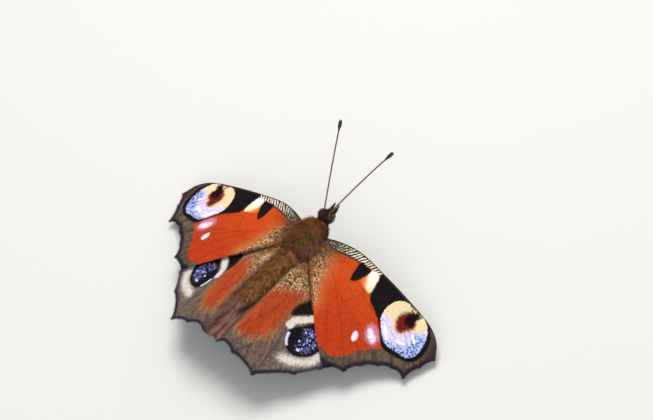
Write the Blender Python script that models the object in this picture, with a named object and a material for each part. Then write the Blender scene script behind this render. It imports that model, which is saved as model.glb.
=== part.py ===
"""A peacock butterfly, Aglais io, life size, wings spread and standing on its four walking legs.

The head points to -Y, the left wings lie on +X, and the feet stand on z = 0. Sizes below are
in millimetres: across from the middle plane, aft from the forewing roots, and up from the floor.
"""

import math

import bmesh
import bpy
import numpy as np
from mathutils import Matrix, Vector, geometry

MM = 0.001
SIDES = {"left": 1, "right": -1}

# The whole animal
ROOT_Y = -5.6           # the forewing roots, ahead of the middle of the animal's length
ROOT_HEIGHT = 10.0      # the forewing roots above the floor
GAP = 0.3               # between one node and the next

# Thorax, head and abdomen
THORAX_AFT, THORAX_UP = 2.0, 9.5
THORAX_SEMI = (2.7, 4.0, 2.7)
THORAX_SQUARENESS = 2.4
THORAX_RINGS, THORAX_SIDES = 17, 20
HEAD_AFT, HEAD_UP = -2.75, 10.45
HEAD_SEMI = (0.85, 1.35, 1.4)
EYE_OUT, EYE_AFT, EYE_UP = 0.78, -3.0, 10.55
EYE_SEMI = (0.8, 0.88, 1.0)
ABDOMEN_START, ABDOMEN_TIP = 5.0, 19.8
ABDOMEN_HALF_WIDTH = 2.05
ABDOMEN_FLATNESS = 0.95     # its height as a share of its width
ABDOMEN_START_UP, ABDOMEN_LIFT = 9.4, 0.75
WAIST_SHARE, WAIST_END = 0.25, 0.3
TAPER_POWER, TAPER_ROUND = 2.6, 0.55
ABDOMEN_SEGMENTS, ABDOMEN_SIDES = 9, 18
SEGMENT_GROOVE = 0.05       # how much narrower the body is between two segments, as a share

# Feelers and mouth parts
ANTENNA_ROOT = (0.5, -3.12, 11.4)
ANTENNA_TIP = (5.94, -15.46, 19.88)
ANTENNA_RADIUS, CLUB_RADIUS, CLUB_LENGTH = 0.25, 0.42, 2.2
ANTENNA_BOW = 0.35
ANTENNA_JOINTS, CLUB_STATIONS = 7, (0.75, 0.5, 0.25, 0.08, 0.0)
CLUB_END_SHARES = (0.75, 0.3)
PALP_ROOT = (0.5, -3.45, 10.0)
PALP_TIP = (0.46, -5.9, 10.62)
PALP_RADIUS, PALP_SAG = 0.31, 0.08
TONGUE_CENTRE = (-4.3, 8.6)
TONGUE_RADIUS, TONGUE_COIL, TONGUE_HOOK = 0.24, 0.86, 0.3
TONGUE_START, TONGUE_STATIONS = 62, 20

# Legs: each joint's place as (across, aft, up), then the radius there
WALKING_LEGS = {
    "midleg": [
        ((1.0, 1.4, 7.8), 0.38), ((5.2, -0.4, 7.3), 0.32),
        ((7.6, -1.6, 2.4), 0.27), ((9.8, -3.2, 0.16), 0.25),
    ],
    "hindleg": [
        ((1.0, 3.3, 7.8), 0.4), ((4.4, 7.4, 7.1), 0.33),
        ((5.6, 11.6, 2.6), 0.27), ((6.4, 15.2, 0.16), 0.25),
    ],
}
FORELEG = [
    ((0.85, 0.5, 7.5), 0.34), ((0.8, -0.9, 6.7), 0.32),
    ((0.7, -1.7, 7.0), 0.28), ((0.6, -2.2, 7.7), 0.22),
]
LEG_PARTS = ("femur", "tibia", "tarsus")
LEG_OVERRUN = 1.5       # how far a length runs on past its joint before it is mitred, in radii

# Wings: a plate that droops and curls down with the distance from its root
WING_THICKNESS = 0.52
WING_SLOPE, WING_CURL, WING_TWIST = 0.175, 0.0045, 0.0066
SLOPE_START = 2.86
HINDWING_DROP = 1.1     # the hindwing under the forewing
HINDWING_LIFT, LIFT_END, LIFT_RUN = 0.26, 10.5, 6.5     # behind the forewing it rises towards the body
FOLD_FLOOR, FOLD_CREST = 0.5, 3.6       # and falls again, inside this crest, into a fold beside it
VEIN_RISE, VEIN_HALF_WIDTH = 0.17, 0.3
VEIN_THINNING = 0.4     # how much lower a vein is at the wing tip, as a share
UNDERSIDE_RISE = 0.5    # a vein's height below the wing, as a share of that above
EDGE_STEP, VEIN_STEP, MEMBRANE_STEP = 1.05, 1.15, 1.6
FLANK_MARGIN, CELL_MARGINS = (0.285, 0.3), (0.75, 0.6)    # clear of the veins and of the rim
CLOSEST_POINTS = 0.4

# Forewing outline and veins in plan, as (across, aft)
FORE_COSTA = [
    (2.5, 0.15), (5.5, -1.0), (9.0, -1.62), (13.5, -1.25),
    (19.2, -0.55), (24.8, 0.4), (27.6, 1.85), (29.2, 4.25),
]
FORE_ENDS = {
    "r5": (28.05, 6.9), "m1": (27.15, 10.25), "m2": (24.9, 10.1), "m3": (22.9, 11.45),
    "cu1": (20.9, 13.4), "cu2": (19.5, 16.15), "anal": (16.5, 17.4),
}
FORE_HOLLOWS = (0.1, 0.15, 0.25, 0.12, 0.1, 0.2, 0.05, 0.0)
FORE_INNER = [(15.5, 17.25), (11.3, 13.6), (6.1, 7.9), (2.2, 3.4)]
FORE_RADIUS_STEM = [(2.9, 0.9), (8.0, 0.1), (13.7, 0.9), (22.0, 1.7)]
FORE_CUBITUS_STEM = [(2.9, 1.7), (8.0, 4.7), (12.2, 7.2)]
FORE_CROSS_VEIN = [(13.7, 0.9), (13.5, 4.0), (12.2, 7.2)]
# Each vein's start on a stem, its end on the margin, and how far it bows towards the front edge
FORE_VEINS = {
    "sc": ((2.9, 0.9), (13.5, -1.25), 0.5), "r1": ((9.2, 0.1), (18.0, -0.7), 0.1),
    "r2": ((13.7, 0.9), (22.3, -0.05), 0.1), "r3": ((18.5, 1.2), (25.8, 0.75), 0.15),
    "r4": ((22.0, 1.7), (29.2, 4.25), 0.4), "r5": ((22.0, 1.7), (28.05, 6.9), 0.7),
    "m1": ((13.7, 1.9), (27.15, 10.25), 2.0), "m2": ((13.5, 4.0), (24.9, 10.1), 0.9),
    "m3": ((12.2, 7.2), (22.9, 11.45), 0.5), "cu1": ((11.2, 6.7), (20.9, 13.4), 0.3),
    "cu2": ((8.0, 4.7), (19.5, 16.15), 0.4), "anal": ((2.9, 1.7), (16.5, 17.4), 0.6),
}

# Hindwing outline and veins in plan
HIND_COSTA = [(2.2, 3.9), (5.0, 3.9), (9.0, 4.4), (13.0, 5.9), (16.5, 8.0), (19.0, 10.4)]
HIND_ENDS = {
    "rs": (19.0, 14.2), "m1": (16.4, 18.1), "m2": (14.0, 21.8), "m3": (9.5, 27.0),
    "cu1": (5.3, 26.7), "cu2": (1.6, 26.5),
}
HIND_HOLLOWS = (-0.5, -0.05, 0.0, 0.35, 0.35, 0.3)
HIND_RADIUS_STEM = [(2.5, 4.5), (7.0, 7.0), (9.7, 10.6)]
HIND_CUBITUS_STEM = [(2.5, 5.0), (5.4, 8.8), (7.4, 13.0)]
HIND_VEINS = {
    "sc": ((5.5, 6.1), (19.0, 10.4), 0.7), "rs": ((7.4, 7.4), (19.0, 14.2), 0.6),
    "m1": ((9.3, 9.9), (16.4, 18.1), 0.3), "m2": ((9.7, 10.6), (14.0, 21.8), 0.2),
    "m3": ((7.4, 13.0), (9.5, 27.0), 0.4), "cu1": ((7.0, 12.1), (5.3, 26.7), 1.0),
    "cu2": ((5.4, 8.8), (1.6, 26.5), 1.3), "anal": ((2.5, 5.0), (0.9, 26.0), 1.6),
}
HIND_SWEEP = {"left": 0.3, "right": -0.9}   # degrees forwards, about the hindwing's root
HIND_ROOT = (2.6, 4.8)
ANAL_ANGLE = 25.9       # how far aft the two hindwings close on the middle plane
FOLD_CLOSE = 1.6        # the stretch before the abdomen's tip over which they begin to close
TIP_ROOM = 0.9          # the least that each stands off the middle plane before that stretch
ROOT_STATIONS = 5

COLOURS = {
    "wing": (0.55, 0.09, 0.02), "fur": (0.12, 0.06, 0.03), "head": (0.06, 0.035, 0.035),
    "eye": (0.03, 0.015, 0.01), "feeler": (0.10, 0.06, 0.03), "leg": (0.09, 0.055, 0.035),
}


def clear_scene():
    for obj in list(bpy.data.objects):
        bpy.data.objects.remove(obj)


def new_collection(name):
    collection = bpy.data.collections.new(name)
    bpy.context.scene.collection.children.link(collection)
    return collection


def material(name, colour, roughness):
    made = bpy.data.materials.new(name)
    made.use_nodes = True
    shader = made.node_tree.nodes["Principled BSDF"]
    shader.inputs["Base Color"].default_value = (*colour, 1.0)
    shader.inputs["Roughness"].default_value = roughness
    return made


def world(points):
    """Millimetres (across, aft, up) to Blender's metres."""
    return (np.asarray(points, float) + (0.0, ROOT_Y, 0.0)) * MM


def add_object(name, mesh, collection, colour, roughness=0.6):
    obj = bpy.data.objects.new(name, mesh)
    mesh.materials.append(material(name + " colour", colour, roughness))
    collection.objects.link(obj)
    return obj


def mesh_of(name, points, faces):
    mesh = bpy.data.meshes.new(name)
    mesh.from_pydata([tuple(p) for p in world(points)], [], [list(map(int, f)) for f in faces])
    mesh.validate()
    return mesh


def add_cutter(name, mesh, collection):
    obj = bpy.data.objects.new(name, mesh)
    obj.hide_render = True
    obj.display_type = "WIRE"
    collection.objects.link(obj)
    return obj


def cut_clear(obj, cutter):
    """Takes the cutter's space out of the object, so that the two keep their gap."""
    cut = obj.modifiers.new("Clear of " + cutter.name, "BOOLEAN")
    cut.operation = "DIFFERENCE"
    cut.object = cutter


def spline(points, step):
    """A smooth Catmull-Rom curve through the points, with a point about every step."""
    points = np.asarray(points, float)
    ends = (2 * points[0] - points[1], 2 * points[-1] - points[-2])
    padded = np.vstack([ends[0], points, ends[1]])
    found = []
    for a, b, c, d in zip(padded, padded[1:], padded[2:], padded[3:]):
        count = max(1, round(float(np.linalg.norm(c - b)) / step))
        t = (np.arange(count) / count)[:, None]
        found.append(0.5 * (2 * b + (c - a) * t + (2 * a - 5 * b + 4 * c - d) * t**2
                            + (3 * b - a - 3 * c + d) * t**3))
    return np.vstack([*found, points[-1]])


def bowed(start, end, bow, step):
    """A parabola from start to end that stands off the straight line by bow at its middle."""
    start, end = np.asarray(start, float), np.asarray(end, float)
    run = end - start
    length = float(np.linalg.norm(run))
    across = np.array([run[1], -run[0]]) / length
    t = np.linspace(0, 1, max(2, round(length / step) + 1))[:, None]
    return start + run * t + across * (4 * bow * t * (1 - t))


def ring_loft(rings, sides):
    """Points and faces of a closed body on elliptical rings, each (aft, up, half width, half height)."""
    angles = 2 * math.pi * np.arange(sides) / sides
    points, faces = [], []
    for aft, up, half_width, half_height in rings[1:-1]:
        points += [(half_width * math.cos(a), aft, up + half_height * math.sin(a)) for a in angles]
    for ring in range(len(rings) - 3):
        for side in range(sides):
            a, b = ring * sides + side, ring * sides + (side + 1) % sides
            faces.append((a, a + sides, b + sides, b))
    first, last = len(points), len(points) + 1
    points += [(0.0, rings[0][0], rings[0][1]), (0.0, rings[-1][0], rings[-1][1])]
    end = (len(rings) - 3) * sides
    for side in range(sides):
        after = (side + 1) % sides
        faces += [(first, side, after), (last, end + after, end + side)]
    return points, faces


def thorax_share(aft, grow=0.0):
    """The thorax's girth at this station as a share of its greatest, from a squared ellipse."""
    t = np.clip(np.abs((aft - THORAX_AFT) / (THORAX_SEMI[1] + grow)), 0, 1)
    return (1 - t**THORAX_SQUARENESS) ** (1 / THORAX_SQUARENESS)


def thorax_rings(grow=0.0):
    reach = THORAX_SEMI[1] + grow
    for turn in np.linspace(0, math.pi, THORAX_RINGS):
        aft = THORAX_AFT - reach * math.cos(turn)
        share = float(thorax_share(aft, grow))
        yield aft, THORAX_UP, (THORAX_SEMI[0] + grow) * share, (THORAX_SEMI[2] + grow) * share


def abdomen_half_width(aft):
    """A narrow waist, the fullest girth about a third of the way back, then a rounded taper."""
    u = np.clip((aft - ABDOMEN_START) / (ABDOMEN_TIP - ABDOMEN_START), 0, 1)
    waist = 1 - WAIST_SHARE * np.clip(1 - u / WAIST_END, 0, 1) ** 2
    return ABDOMEN_HALF_WIDTH * waist * (1 - u**TAPER_POWER) ** TAPER_ROUND


def abdomen_up(aft):
    u = np.clip((aft - ABDOMEN_START) / (ABDOMEN_TIP - ABDOMEN_START), 0, 1)
    return ABDOMEN_START_UP + ABDOMEN_LIFT * u**1.5


def abdomen_rings():
    """Two rings a segment, the one between segments a little narrower than the one on the segment."""
    yield ABDOMEN_START, ABDOMEN_START_UP, 0.0, 0.0
    shares = np.linspace(0.02, 0.985, 2 * ABDOMEN_SEGMENTS)
    for index, share in enumerate(shares):
        aft = ABDOMEN_START + (ABDOMEN_TIP - ABDOMEN_START) * share
        half = float(abdomen_half_width(aft)) * (1 - SEGMENT_GROOVE * (index % 2))
        yield aft, float(abdomen_up(aft)), half, half * ABDOMEN_FLATNESS
    yield ABDOMEN_TIP, ABDOMEN_START_UP + ABDOMEN_LIFT, 0.0, 0.0


def ellipsoid(name, centre, semi, segments, rings):
    sphere = bmesh.new()
    turn = Matrix.Rotation(math.pi / 2, 4, "X")
    bmesh.ops.create_uvsphere(sphere, u_segments=segments, v_segments=rings, radius=1.0, matrix=turn)
    for vertex in sphere.verts:
        vertex.co = world([centre[i] + semi[i] * vertex.co[i] for i in range(3)])
    mesh = bpy.data.meshes.new(name)
    sphere.to_mesh(mesh)
    sphere.free()
    mesh.shade_smooth()
    return mesh


def mirrored(point, side):
    return (side * point[0], point[1], point[2])


def tube(name, points, radii, resolution=2):
    """A mesh of a closed tube along the points, made from a bevelled curve, with its caps welded."""
    curve = bpy.data.curves.new(name, "CURVE")
    curve.dimensions = "3D"
    curve.bevel_depth = MM
    curve.bevel_resolution = resolution
    curve.use_fill_caps = True
    line = curve.splines.new("POLY")
    line.points.add(len(points) - 1)
    for place, point, radius in zip(line.points, world(points), radii):
        place.co = (*point, 1.0)
        place.radius = radius
    holder = bpy.data.objects.new(name + " guide", curve)
    bpy.context.scene.collection.objects.link(holder)
    bpy.context.view_layer.update()
    mesh = bpy.data.meshes.new_from_object(holder.evaluated_get(bpy.context.evaluated_depsgraph_get()))
    bpy.data.objects.remove(holder)
    bpy.data.curves.remove(curve)
    welded = bmesh.new()
    welded.from_mesh(mesh)
    bmesh.ops.remove_doubles(welded, verts=welded.verts, dist=1e-7)
    bmesh.ops.recalc_face_normals(welded, faces=welded.faces)
    welded.to_mesh(mesh)
    welded.free()
    mesh.name = name
    return mesh


def trim(mesh, point, normal):
    """Cuts off what lies past the plane on the normal's side, and closes the cut with one flat face."""
    cut = bmesh.new()
    cut.from_mesh(mesh)
    everything = cut.verts[:] + cut.edges[:] + cut.faces[:]
    found = bmesh.ops.bisect_plane(cut, geom=everything, plane_co=Vector(world(point)),
                                   plane_no=Vector(normal), clear_outer=True, dist=1e-8)
    rim = [piece for piece in found["geom_cut"] if isinstance(piece, bmesh.types.BMEdge)]
    bmesh.ops.holes_fill(cut, edges=rim, sides=0)
    cut.to_mesh(mesh)
    cut.free()


def ring_body(name, rings, sides):
    mesh = mesh_of(name, *ring_loft(list(rings), sides))
    mesh.shade_smooth()
    return mesh


def add_body(parts, cutters):
    """Thorax, abdomen and head. Returns the room that the thorax and the head keep clear around them."""
    add_object("thorax", ring_body("thorax", thorax_rings(), THORAX_SIDES), parts, COLOURS["fur"])
    thorax_room = ring_body("thorax room", thorax_rings(GAP), THORAX_SIDES)
    thorax_room = add_cutter("thorax room", thorax_room, cutters)
    abdomen = ring_body("abdomen", abdomen_rings(), ABDOMEN_SIDES)
    cut_clear(add_object("abdomen", abdomen, parts, COLOURS["fur"]), thorax_room)
    centre = (0.0, HEAD_AFT, HEAD_UP)
    head = ellipsoid("head", centre, HEAD_SEMI, 16, 12)
    cut_clear(add_object("head", head, parts, COLOURS["head"]), thorax_room)
    grown = [size + GAP for size in HEAD_SEMI]
    head_room = add_cutter("head room", ellipsoid("head room", centre, grown, 16, 12), cutters)
    return thorax_room, head_room


def antenna_line():
    """Nearly straight, bowed a little upwards, with its points closer together along the club."""
    root, tip = np.array(ANTENNA_ROOT), np.array(ANTENNA_TIP)
    length = float(np.linalg.norm(tip - root))
    shaft = length - CLUB_LENGTH
    club = length - CLUB_LENGTH * np.array(CLUB_STATIONS)
    along = np.concatenate([np.linspace(0, shaft, ANTENNA_JOINTS), club])
    t = along / length
    points = root + (tip - root) * t[:, None]
    points[:, 2] += 4 * ANTENNA_BOW * t * (1 - t)
    swell = np.clip((along - shaft) / CLUB_LENGTH / CLUB_STATIONS[0], 0, 1)
    radii = ANTENNA_RADIUS + (CLUB_RADIUS - ANTENNA_RADIUS) * np.sin(math.pi / 2 * swell)
    radii[-2:] = np.array(CLUB_END_SHARES) * CLUB_RADIUS
    return points, radii


def tongue_line():
    """One turn of a spiral in the middle plane, from under the head down and round to its hook."""
    turn = np.linspace(0, 2 * math.pi, TONGUE_STATIONS)
    radius = TONGUE_COIL + (TONGUE_HOOK - TONGUE_COIL) * turn / turn[-1]
    angle = math.radians(TONGUE_START) - turn
    aft = TONGUE_CENTRE[0] + radius * np.cos(angle)
    return np.stack([0 * aft, aft, TONGUE_CENTRE[1] + radius * np.sin(angle)], 1)


def add_head_parts(parts, thorax_room, head_room):
    for name, side in SIDES.items():
        eye = ellipsoid("eye", mirrored((EYE_OUT, EYE_AFT, EYE_UP), side), EYE_SEMI, 14, 10)
        eye = add_object("eye_" + name, eye, parts, COLOURS["eye"], 0.15)
        cut_clear(eye, thorax_room)
        cut_clear(eye, head_room)
        points, radii = antenna_line()
        feeler = tube("antenna", points * (side, 1, 1), radii)
        cut_clear(add_object("antenna_" + name, feeler, parts, COLOURS["feeler"]), head_room)
        root, tip = np.array(mirrored(PALP_ROOT, side)), np.array(mirrored(PALP_TIP, side))
        middle = (root + tip) / 2 - (0, 0, PALP_SAG)
        palp = tube("palp", [root, middle, tip], [PALP_RADIUS, PALP_RADIUS, PALP_RADIUS / 2])
        cut_clear(add_object("palp_" + name, palp, parts, COLOURS["fur"]), head_room)
    line = tongue_line()
    tongue = tube("proboscis", line, np.full(len(line), TONGUE_RADIUS), 1)
    cut_clear(add_object("proboscis", tongue, parts, COLOURS["feeler"], 0.3), head_room)


def unit(vector):
    return vector / np.linalg.norm(vector)


def leg_length(name, places, radii, index):
    """One straight length of a leg, mitred half a gap from each joint, or cut flat on the floor."""
    runs = [unit(b - a) for a, b in zip(places, places[1:])]
    start, end = places[index], places[index + 1]
    overrun = runs[index] * radii[index] * LEG_OVERRUN
    mesh = tube(name, [start - overrun * (index > 0), end + overrun], radii[index:index + 2])
    if index > 0:
        mitre = unit(runs[index - 1] + runs[index])
        trim(mesh, start + mitre * GAP / 2, -mitre)
    if index < len(runs) - 1:
        mitre = unit(runs[index] + runs[index + 1])
        trim(mesh, end - mitre * GAP / 2, mitre)
    else:
        trim(mesh, (end[0], end[1], 0.0), (0, 0, -1))
    return mesh


def add_legs(parts, thorax_room):
    for name, side in SIDES.items():
        for leg, joints in WALKING_LEGS.items():
            places = [np.array(mirrored(place, side)) for place, _ in joints]
            radii = [radius for _, radius in joints]
            for index, part in enumerate(LEG_PARTS):
                mesh = leg_length(part, places, radii, index)
                obj = add_object(f"{leg}_{part}_{name}", mesh, parts, COLOURS["leg"])
                if index == 0:
                    cut_clear(obj, thorax_room)
        places = [mirrored(place, side) for place, _ in FORELEG]
        foreleg = tube("foreleg", places, [radius for _, radius in FORELEG])
        cut_clear(add_object("foreleg_" + name, foreleg, parts, COLOURS["leg"]), thorax_room)


def forewing_up(across, aft):
    """Height of the forewing's middle surface, which slopes and curls down outwards and to the rear."""
    out = np.maximum(across - SLOPE_START, 0)
    return ROOT_HEIGHT - WING_SLOPE * out - WING_CURL * out**2 - WING_TWIST * out * aft


def ease(t):
    """0 below 0, 1 above 1, and a smooth step between."""
    t = np.clip(t, 0, 1)
    return t**2 * (3 - 2 * t)


def hindwing_up(across, aft):
    """The same surface a little lower, rising behind the forewing's rear margin to a crest by the body."""
    rear = np.interp(across, *np.transpose(FORE_INNER[::-1]))
    lift = HINDWING_LIFT * np.maximum(LIFT_END - across, 0) * ease((aft - rear) / LIFT_RUN)
    fold = ease((across - FOLD_FLOOR) / (FOLD_CREST - FOLD_FLOOR))
    return forewing_up(across, aft) - HINDWING_DROP + lift * fold


def beside_thorax(aft, up):
    """How far out the thorax reaches beside a plate whose middle is at this height."""
    share = thorax_share(aft)
    near = np.maximum(np.abs(up - THORAX_UP) - WING_THICKNESS / 2, 0) / THORAX_SEMI[2]
    return THORAX_SEMI[0] * np.sqrt(np.maximum(share**2 - near**2, 0))


def beside_abdomen(aft, up):
    """The same beside the abdomen."""
    half = abdomen_half_width(aft)
    near = np.maximum(np.abs(up - abdomen_up(aft)) - WING_THICKNESS / 2, 0) / ABDOMEN_FLATNESS
    return np.sqrt(np.maximum(half**2 - near**2, 0))


def hollowed_edge(ends, hollows):
    """The outer margin: from each vein's end to the next, drawn inwards between them."""
    arcs = [bowed(a, b, -hollow, EDGE_STEP)[:-1] for a, b, hollow in zip(ends, ends[1:], hollows)]
    return np.vstack(arcs)


def fore_plan():
    """The forewing's outline, front edge first, and its veins."""
    costa = spline(FORE_COSTA, EDGE_STEP)
    ends = [FORE_COSTA[-1], *FORE_ENDS.values(), FORE_INNER[0]]
    outer = hollowed_edge(ends, FORE_HOLLOWS)
    inner = spline(FORE_INNER, EDGE_STEP)
    aft = np.linspace(inner[-1, 1], costa[0, 1], ROOT_STATIONS)
    root = np.stack([beside_thorax(aft, ROOT_HEIGHT) + GAP, aft], 1)
    outline = np.vstack([costa[1:-1], outer, inner[:-1], root])
    stems = (FORE_RADIUS_STEM, FORE_CUBITUS_STEM, FORE_CROSS_VEIN)
    return outline, [spline(stem, VEIN_STEP) for stem in stems], FORE_VEINS


def swept(points, degrees):
    """Plan points turned about the hindwing's root."""
    angle = math.radians(-degrees)
    turn = np.array([[math.cos(angle), -math.sin(angle)], [math.sin(angle), math.cos(angle)]])
    return (np.asarray(points, float) - HIND_ROOT) @ turn.T + HIND_ROOT


def hind_plan(degrees):
    """The hindwing's outline and veins. Its inner margin follows the body, then closes behind it."""
    costa = swept(spline(HIND_COSTA, EDGE_STEP), degrees)
    ends = swept([HIND_COSTA[-1], *HIND_ENDS.values()], degrees)
    outer = hollowed_edge(ends, HIND_HOLLOWS)
    aft = np.arange(ANAL_ANGLE, costa[0, 1] + EDGE_STEP / 2, -EDGE_STEP)
    up = hindwing_up(np.full(len(aft), SLOPE_START), aft)
    body = np.maximum(beside_thorax(aft, up), beside_abdomen(aft, up))
    past = np.clip((aft - ABDOMEN_TIP + FOLD_CLOSE) / FOLD_CLOSE, 0, 1)
    inner = np.stack([np.maximum(body, TIP_ROOM * (1 - past)) + GAP, aft], 1)
    outline = np.vstack([costa[1:-1], outer, ends[-1], inner])
    stems = [spline(stem, VEIN_STEP) for stem in (HIND_RADIUS_STEM, HIND_CUBITUS_STEM)]
    stems = [swept(stem, degrees) for stem in stems]
    veins = {name: (*swept(places, degrees), bow) for name, (*places, bow) in HIND_VEINS.items()}
    return outline, stems, veins


def distance_to_lines(points, lines):
    """Each point's distance to the nearest stretch of any of the lines."""
    starts = np.vstack([line[:-1] for line in lines])
    runs = np.vstack([np.diff(line, axis=0) for line in lines])
    offset = points[:, None] - starts[None]
    t = np.clip((offset * runs).sum(2) / np.maximum((runs**2).sum(1), 1e-12), 0, 1)
    return np.linalg.norm(offset - t[..., None] * runs, axis=2).min(1)


def inside(points, outline):
    """Whether each point lies in the outline, by counting the edges to its right."""
    x, y = points[:, :1], points[:, 1:]
    a, b = outline, np.roll(outline, -1, 0)
    spans = (a[:, 1] > y) != (b[:, 1] > y)
    rise = np.where(b[:, 1] == a[:, 1], 1.0, b[:, 1] - a[:, 1])
    crossing = x < a[:, 0] + (y - a[:, 1]) * (b[:, 0] - a[:, 0]) / rise
    return (spans & crossing).sum(1) % 2 == 1


def staggered_grid(low, high):
    """Rows of points one step apart, every second row moved along by half a step."""
    row_step = MEMBRANE_STEP * math.sqrt(3) / 2
    x, y = np.meshgrid(np.arange(low[0], high[0], MEMBRANE_STEP), np.arange(low[1], high[1], row_step))
    x[1::2] += MEMBRANE_STEP / 2
    return np.stack([x.ravel(), y.ravel()], 1)


def membrane_points(outline, crests):
    """Points on both flanks of every vein, then a staggered grid over the cells between them."""
    flanks = []
    for crest in crests:
        run = np.gradient(crest, axis=0)
        across = np.stack([run[:, 1], -run[:, 0]], 1) / np.linalg.norm(run, axis=1)[:, None]
        flanks += [crest + VEIN_HALF_WIDTH * across, crest - VEIN_HALF_WIDTH * across]
    cells = staggered_grid(outline.min(0), outline.max(0))
    rim = np.vstack([outline, outline[:1]])
    kept = []
    for points, (from_vein, from_rim) in ((np.vstack(flanks), FLANK_MARGIN), (cells, CELL_MARGINS)):
        points = points[inside(points, outline)]
        points = points[distance_to_lines(points, crests) > from_vein]
        points = points[distance_to_lines(points, [rim]) > from_rim]
        for point in points:
            if not kept or np.linalg.norm(np.array(kept) - point, axis=1).min() > CLOSEST_POINTS:
                kept.append(point)
    return np.array(kept)


def vein_crests(stems, veins):
    """The stems, then each vein from the stem point nearest to its start out to the margin."""
    crests = list(stems)
    for start, end, bow in veins.values():
        near = np.vstack(crests)
        root = near[np.linalg.norm(near - start, axis=1).argmin()]
        crests.append(bowed(root, end, bow, VEIN_STEP))
    return crests


def split_plan(outline, crests):
    """Triangles that fill the outline and keep every crest as a line of edges."""
    edges, count = [], len(outline)
    for crest in crests:
        edges += [(count + i, count + i + 1) for i in range(len(crest) - 1)]
        count += len(crest)
    plan = np.vstack([outline, *crests, membrane_points(outline, crests)])
    rim = list(range(len(outline)))
    found = geometry.delaunay_2d_cdt([Vector(p) for p in plan], edges, [rim], 1, 1e-4)
    return np.array([tuple(p) for p in found[0]]), [tuple(face) for face in found[2]]


def plate(name, top, low, triangles):
    """Two faces split alike, joined by a wall along every edge that only one triangle has."""
    count = len(top)
    directed = {edge for a, b, c in triangles for edge in ((a, b), (b, c), (c, a))}
    rim = sorted(edge for edge in directed if edge[::-1] not in directed)
    faces = list(triangles)
    faces += [(c + count, b + count, a + count) for a, b, c in triangles]
    faces += [(b, a, a + count, b + count) for a, b in rim]
    mesh = mesh_of(name, np.vstack([top, low]), faces)
    closed = bmesh.new()
    closed.from_mesh(mesh)
    bmesh.ops.recalc_face_normals(closed, faces=closed.faces)
    closed.to_mesh(mesh)
    closed.free()
    return mesh


def wing_mesh(name, side, outline, stems, veins, surface):
    """One curved plate, split alike above and below, with the veins raised in both faces."""
    crests = vein_crests(stems, veins)
    plan, triangles = split_plan(outline, crests)
    near_vein = distance_to_lines(plan, crests)
    far = plan[:, 0] / plan[:, 0].max()
    rise = VEIN_RISE * np.clip(1 - near_vein / VEIN_HALF_WIDTH, 0, 1) * (1 - VEIN_THINNING * far)
    across, aft = plan.T
    middle = surface(across, aft)
    top = np.column_stack([side * across, aft, middle + WING_THICKNESS / 2 + rise])
    low = np.column_stack([side * across, aft, middle - WING_THICKNESS / 2 - UNDERSIDE_RISE * rise])
    return plate(name, top, low, triangles)


def add_wings(parts):
    for name, side in SIDES.items():
        fore = wing_mesh("forewing", side, *fore_plan(), forewing_up)
        add_object("forewing_" + name, fore, parts, COLOURS["wing"])
        hind = wing_mesh("hindwing", side, *hind_plan(HIND_SWEEP[name]), hindwing_up)
        add_object("hindwing_" + name, hind, parts, COLOURS["wing"])


def main():
    clear_scene()
    parts = new_collection("Peacock butterfly")
    cutters = new_collection("Cutters")
    thorax_room, head_room = add_body(parts, cutters)
    add_head_parts(parts, thorax_room, head_room)
    add_legs(parts, thorax_room)
    add_wings(parts)


main()
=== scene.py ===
"""The looks of a peacock butterfly, Aglais io, life size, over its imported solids.

Sizes are in millimetres, as (across, aft, up): across from the middle plane, aft from the forewing
roots and up from the floor. The left side is positive. world() turns them into the frame's metres.
"""

import math

import bpy
import numpy as np
from mathutils import Matrix, Vector

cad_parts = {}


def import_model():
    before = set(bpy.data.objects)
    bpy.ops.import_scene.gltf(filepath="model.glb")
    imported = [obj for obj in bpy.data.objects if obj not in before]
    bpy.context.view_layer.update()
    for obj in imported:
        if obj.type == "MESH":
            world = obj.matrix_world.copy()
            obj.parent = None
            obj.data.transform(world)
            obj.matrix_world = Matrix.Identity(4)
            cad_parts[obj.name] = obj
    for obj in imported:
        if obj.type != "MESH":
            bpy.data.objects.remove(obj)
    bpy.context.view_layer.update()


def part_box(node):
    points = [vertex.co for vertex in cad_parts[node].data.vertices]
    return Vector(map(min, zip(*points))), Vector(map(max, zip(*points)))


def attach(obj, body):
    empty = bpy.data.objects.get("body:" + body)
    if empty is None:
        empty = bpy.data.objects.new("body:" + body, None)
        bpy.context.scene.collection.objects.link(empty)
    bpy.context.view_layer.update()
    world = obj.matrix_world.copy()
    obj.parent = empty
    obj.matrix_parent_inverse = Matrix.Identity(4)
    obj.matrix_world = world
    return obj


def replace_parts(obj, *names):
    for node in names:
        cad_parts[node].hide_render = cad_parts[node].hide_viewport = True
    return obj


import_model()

MM, TINY = 0.001, 1e-12
SIDES = {"left": 1, "right": -1}
ROOT_Y, ROOT_HEIGHT = -5.6, 10.0
CURVE_STEP, FAR_OFF, BLOCK, FLOOR_ROOM, SEED = 0.35, 3.0, 3000, 0.01, 20

# Wing surfaces, as the solids have them
WING_SLOPE, WING_CURL, WING_TWIST, SLOPE_START = 0.175, 0.0045, 0.0066, 2.86
HINDWING_DROP, HINDWING_LIFT, LIFT_END, LIFT_RUN = 1.1, 0.26, 10.5, 6.5
FOLD_FLOOR, FOLD_CREST = 0.5, 3.6
HIND_SWEEP = {"left": 0.3, "right": -0.9}
HIND_ROOT = (2.6, 4.8)

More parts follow.
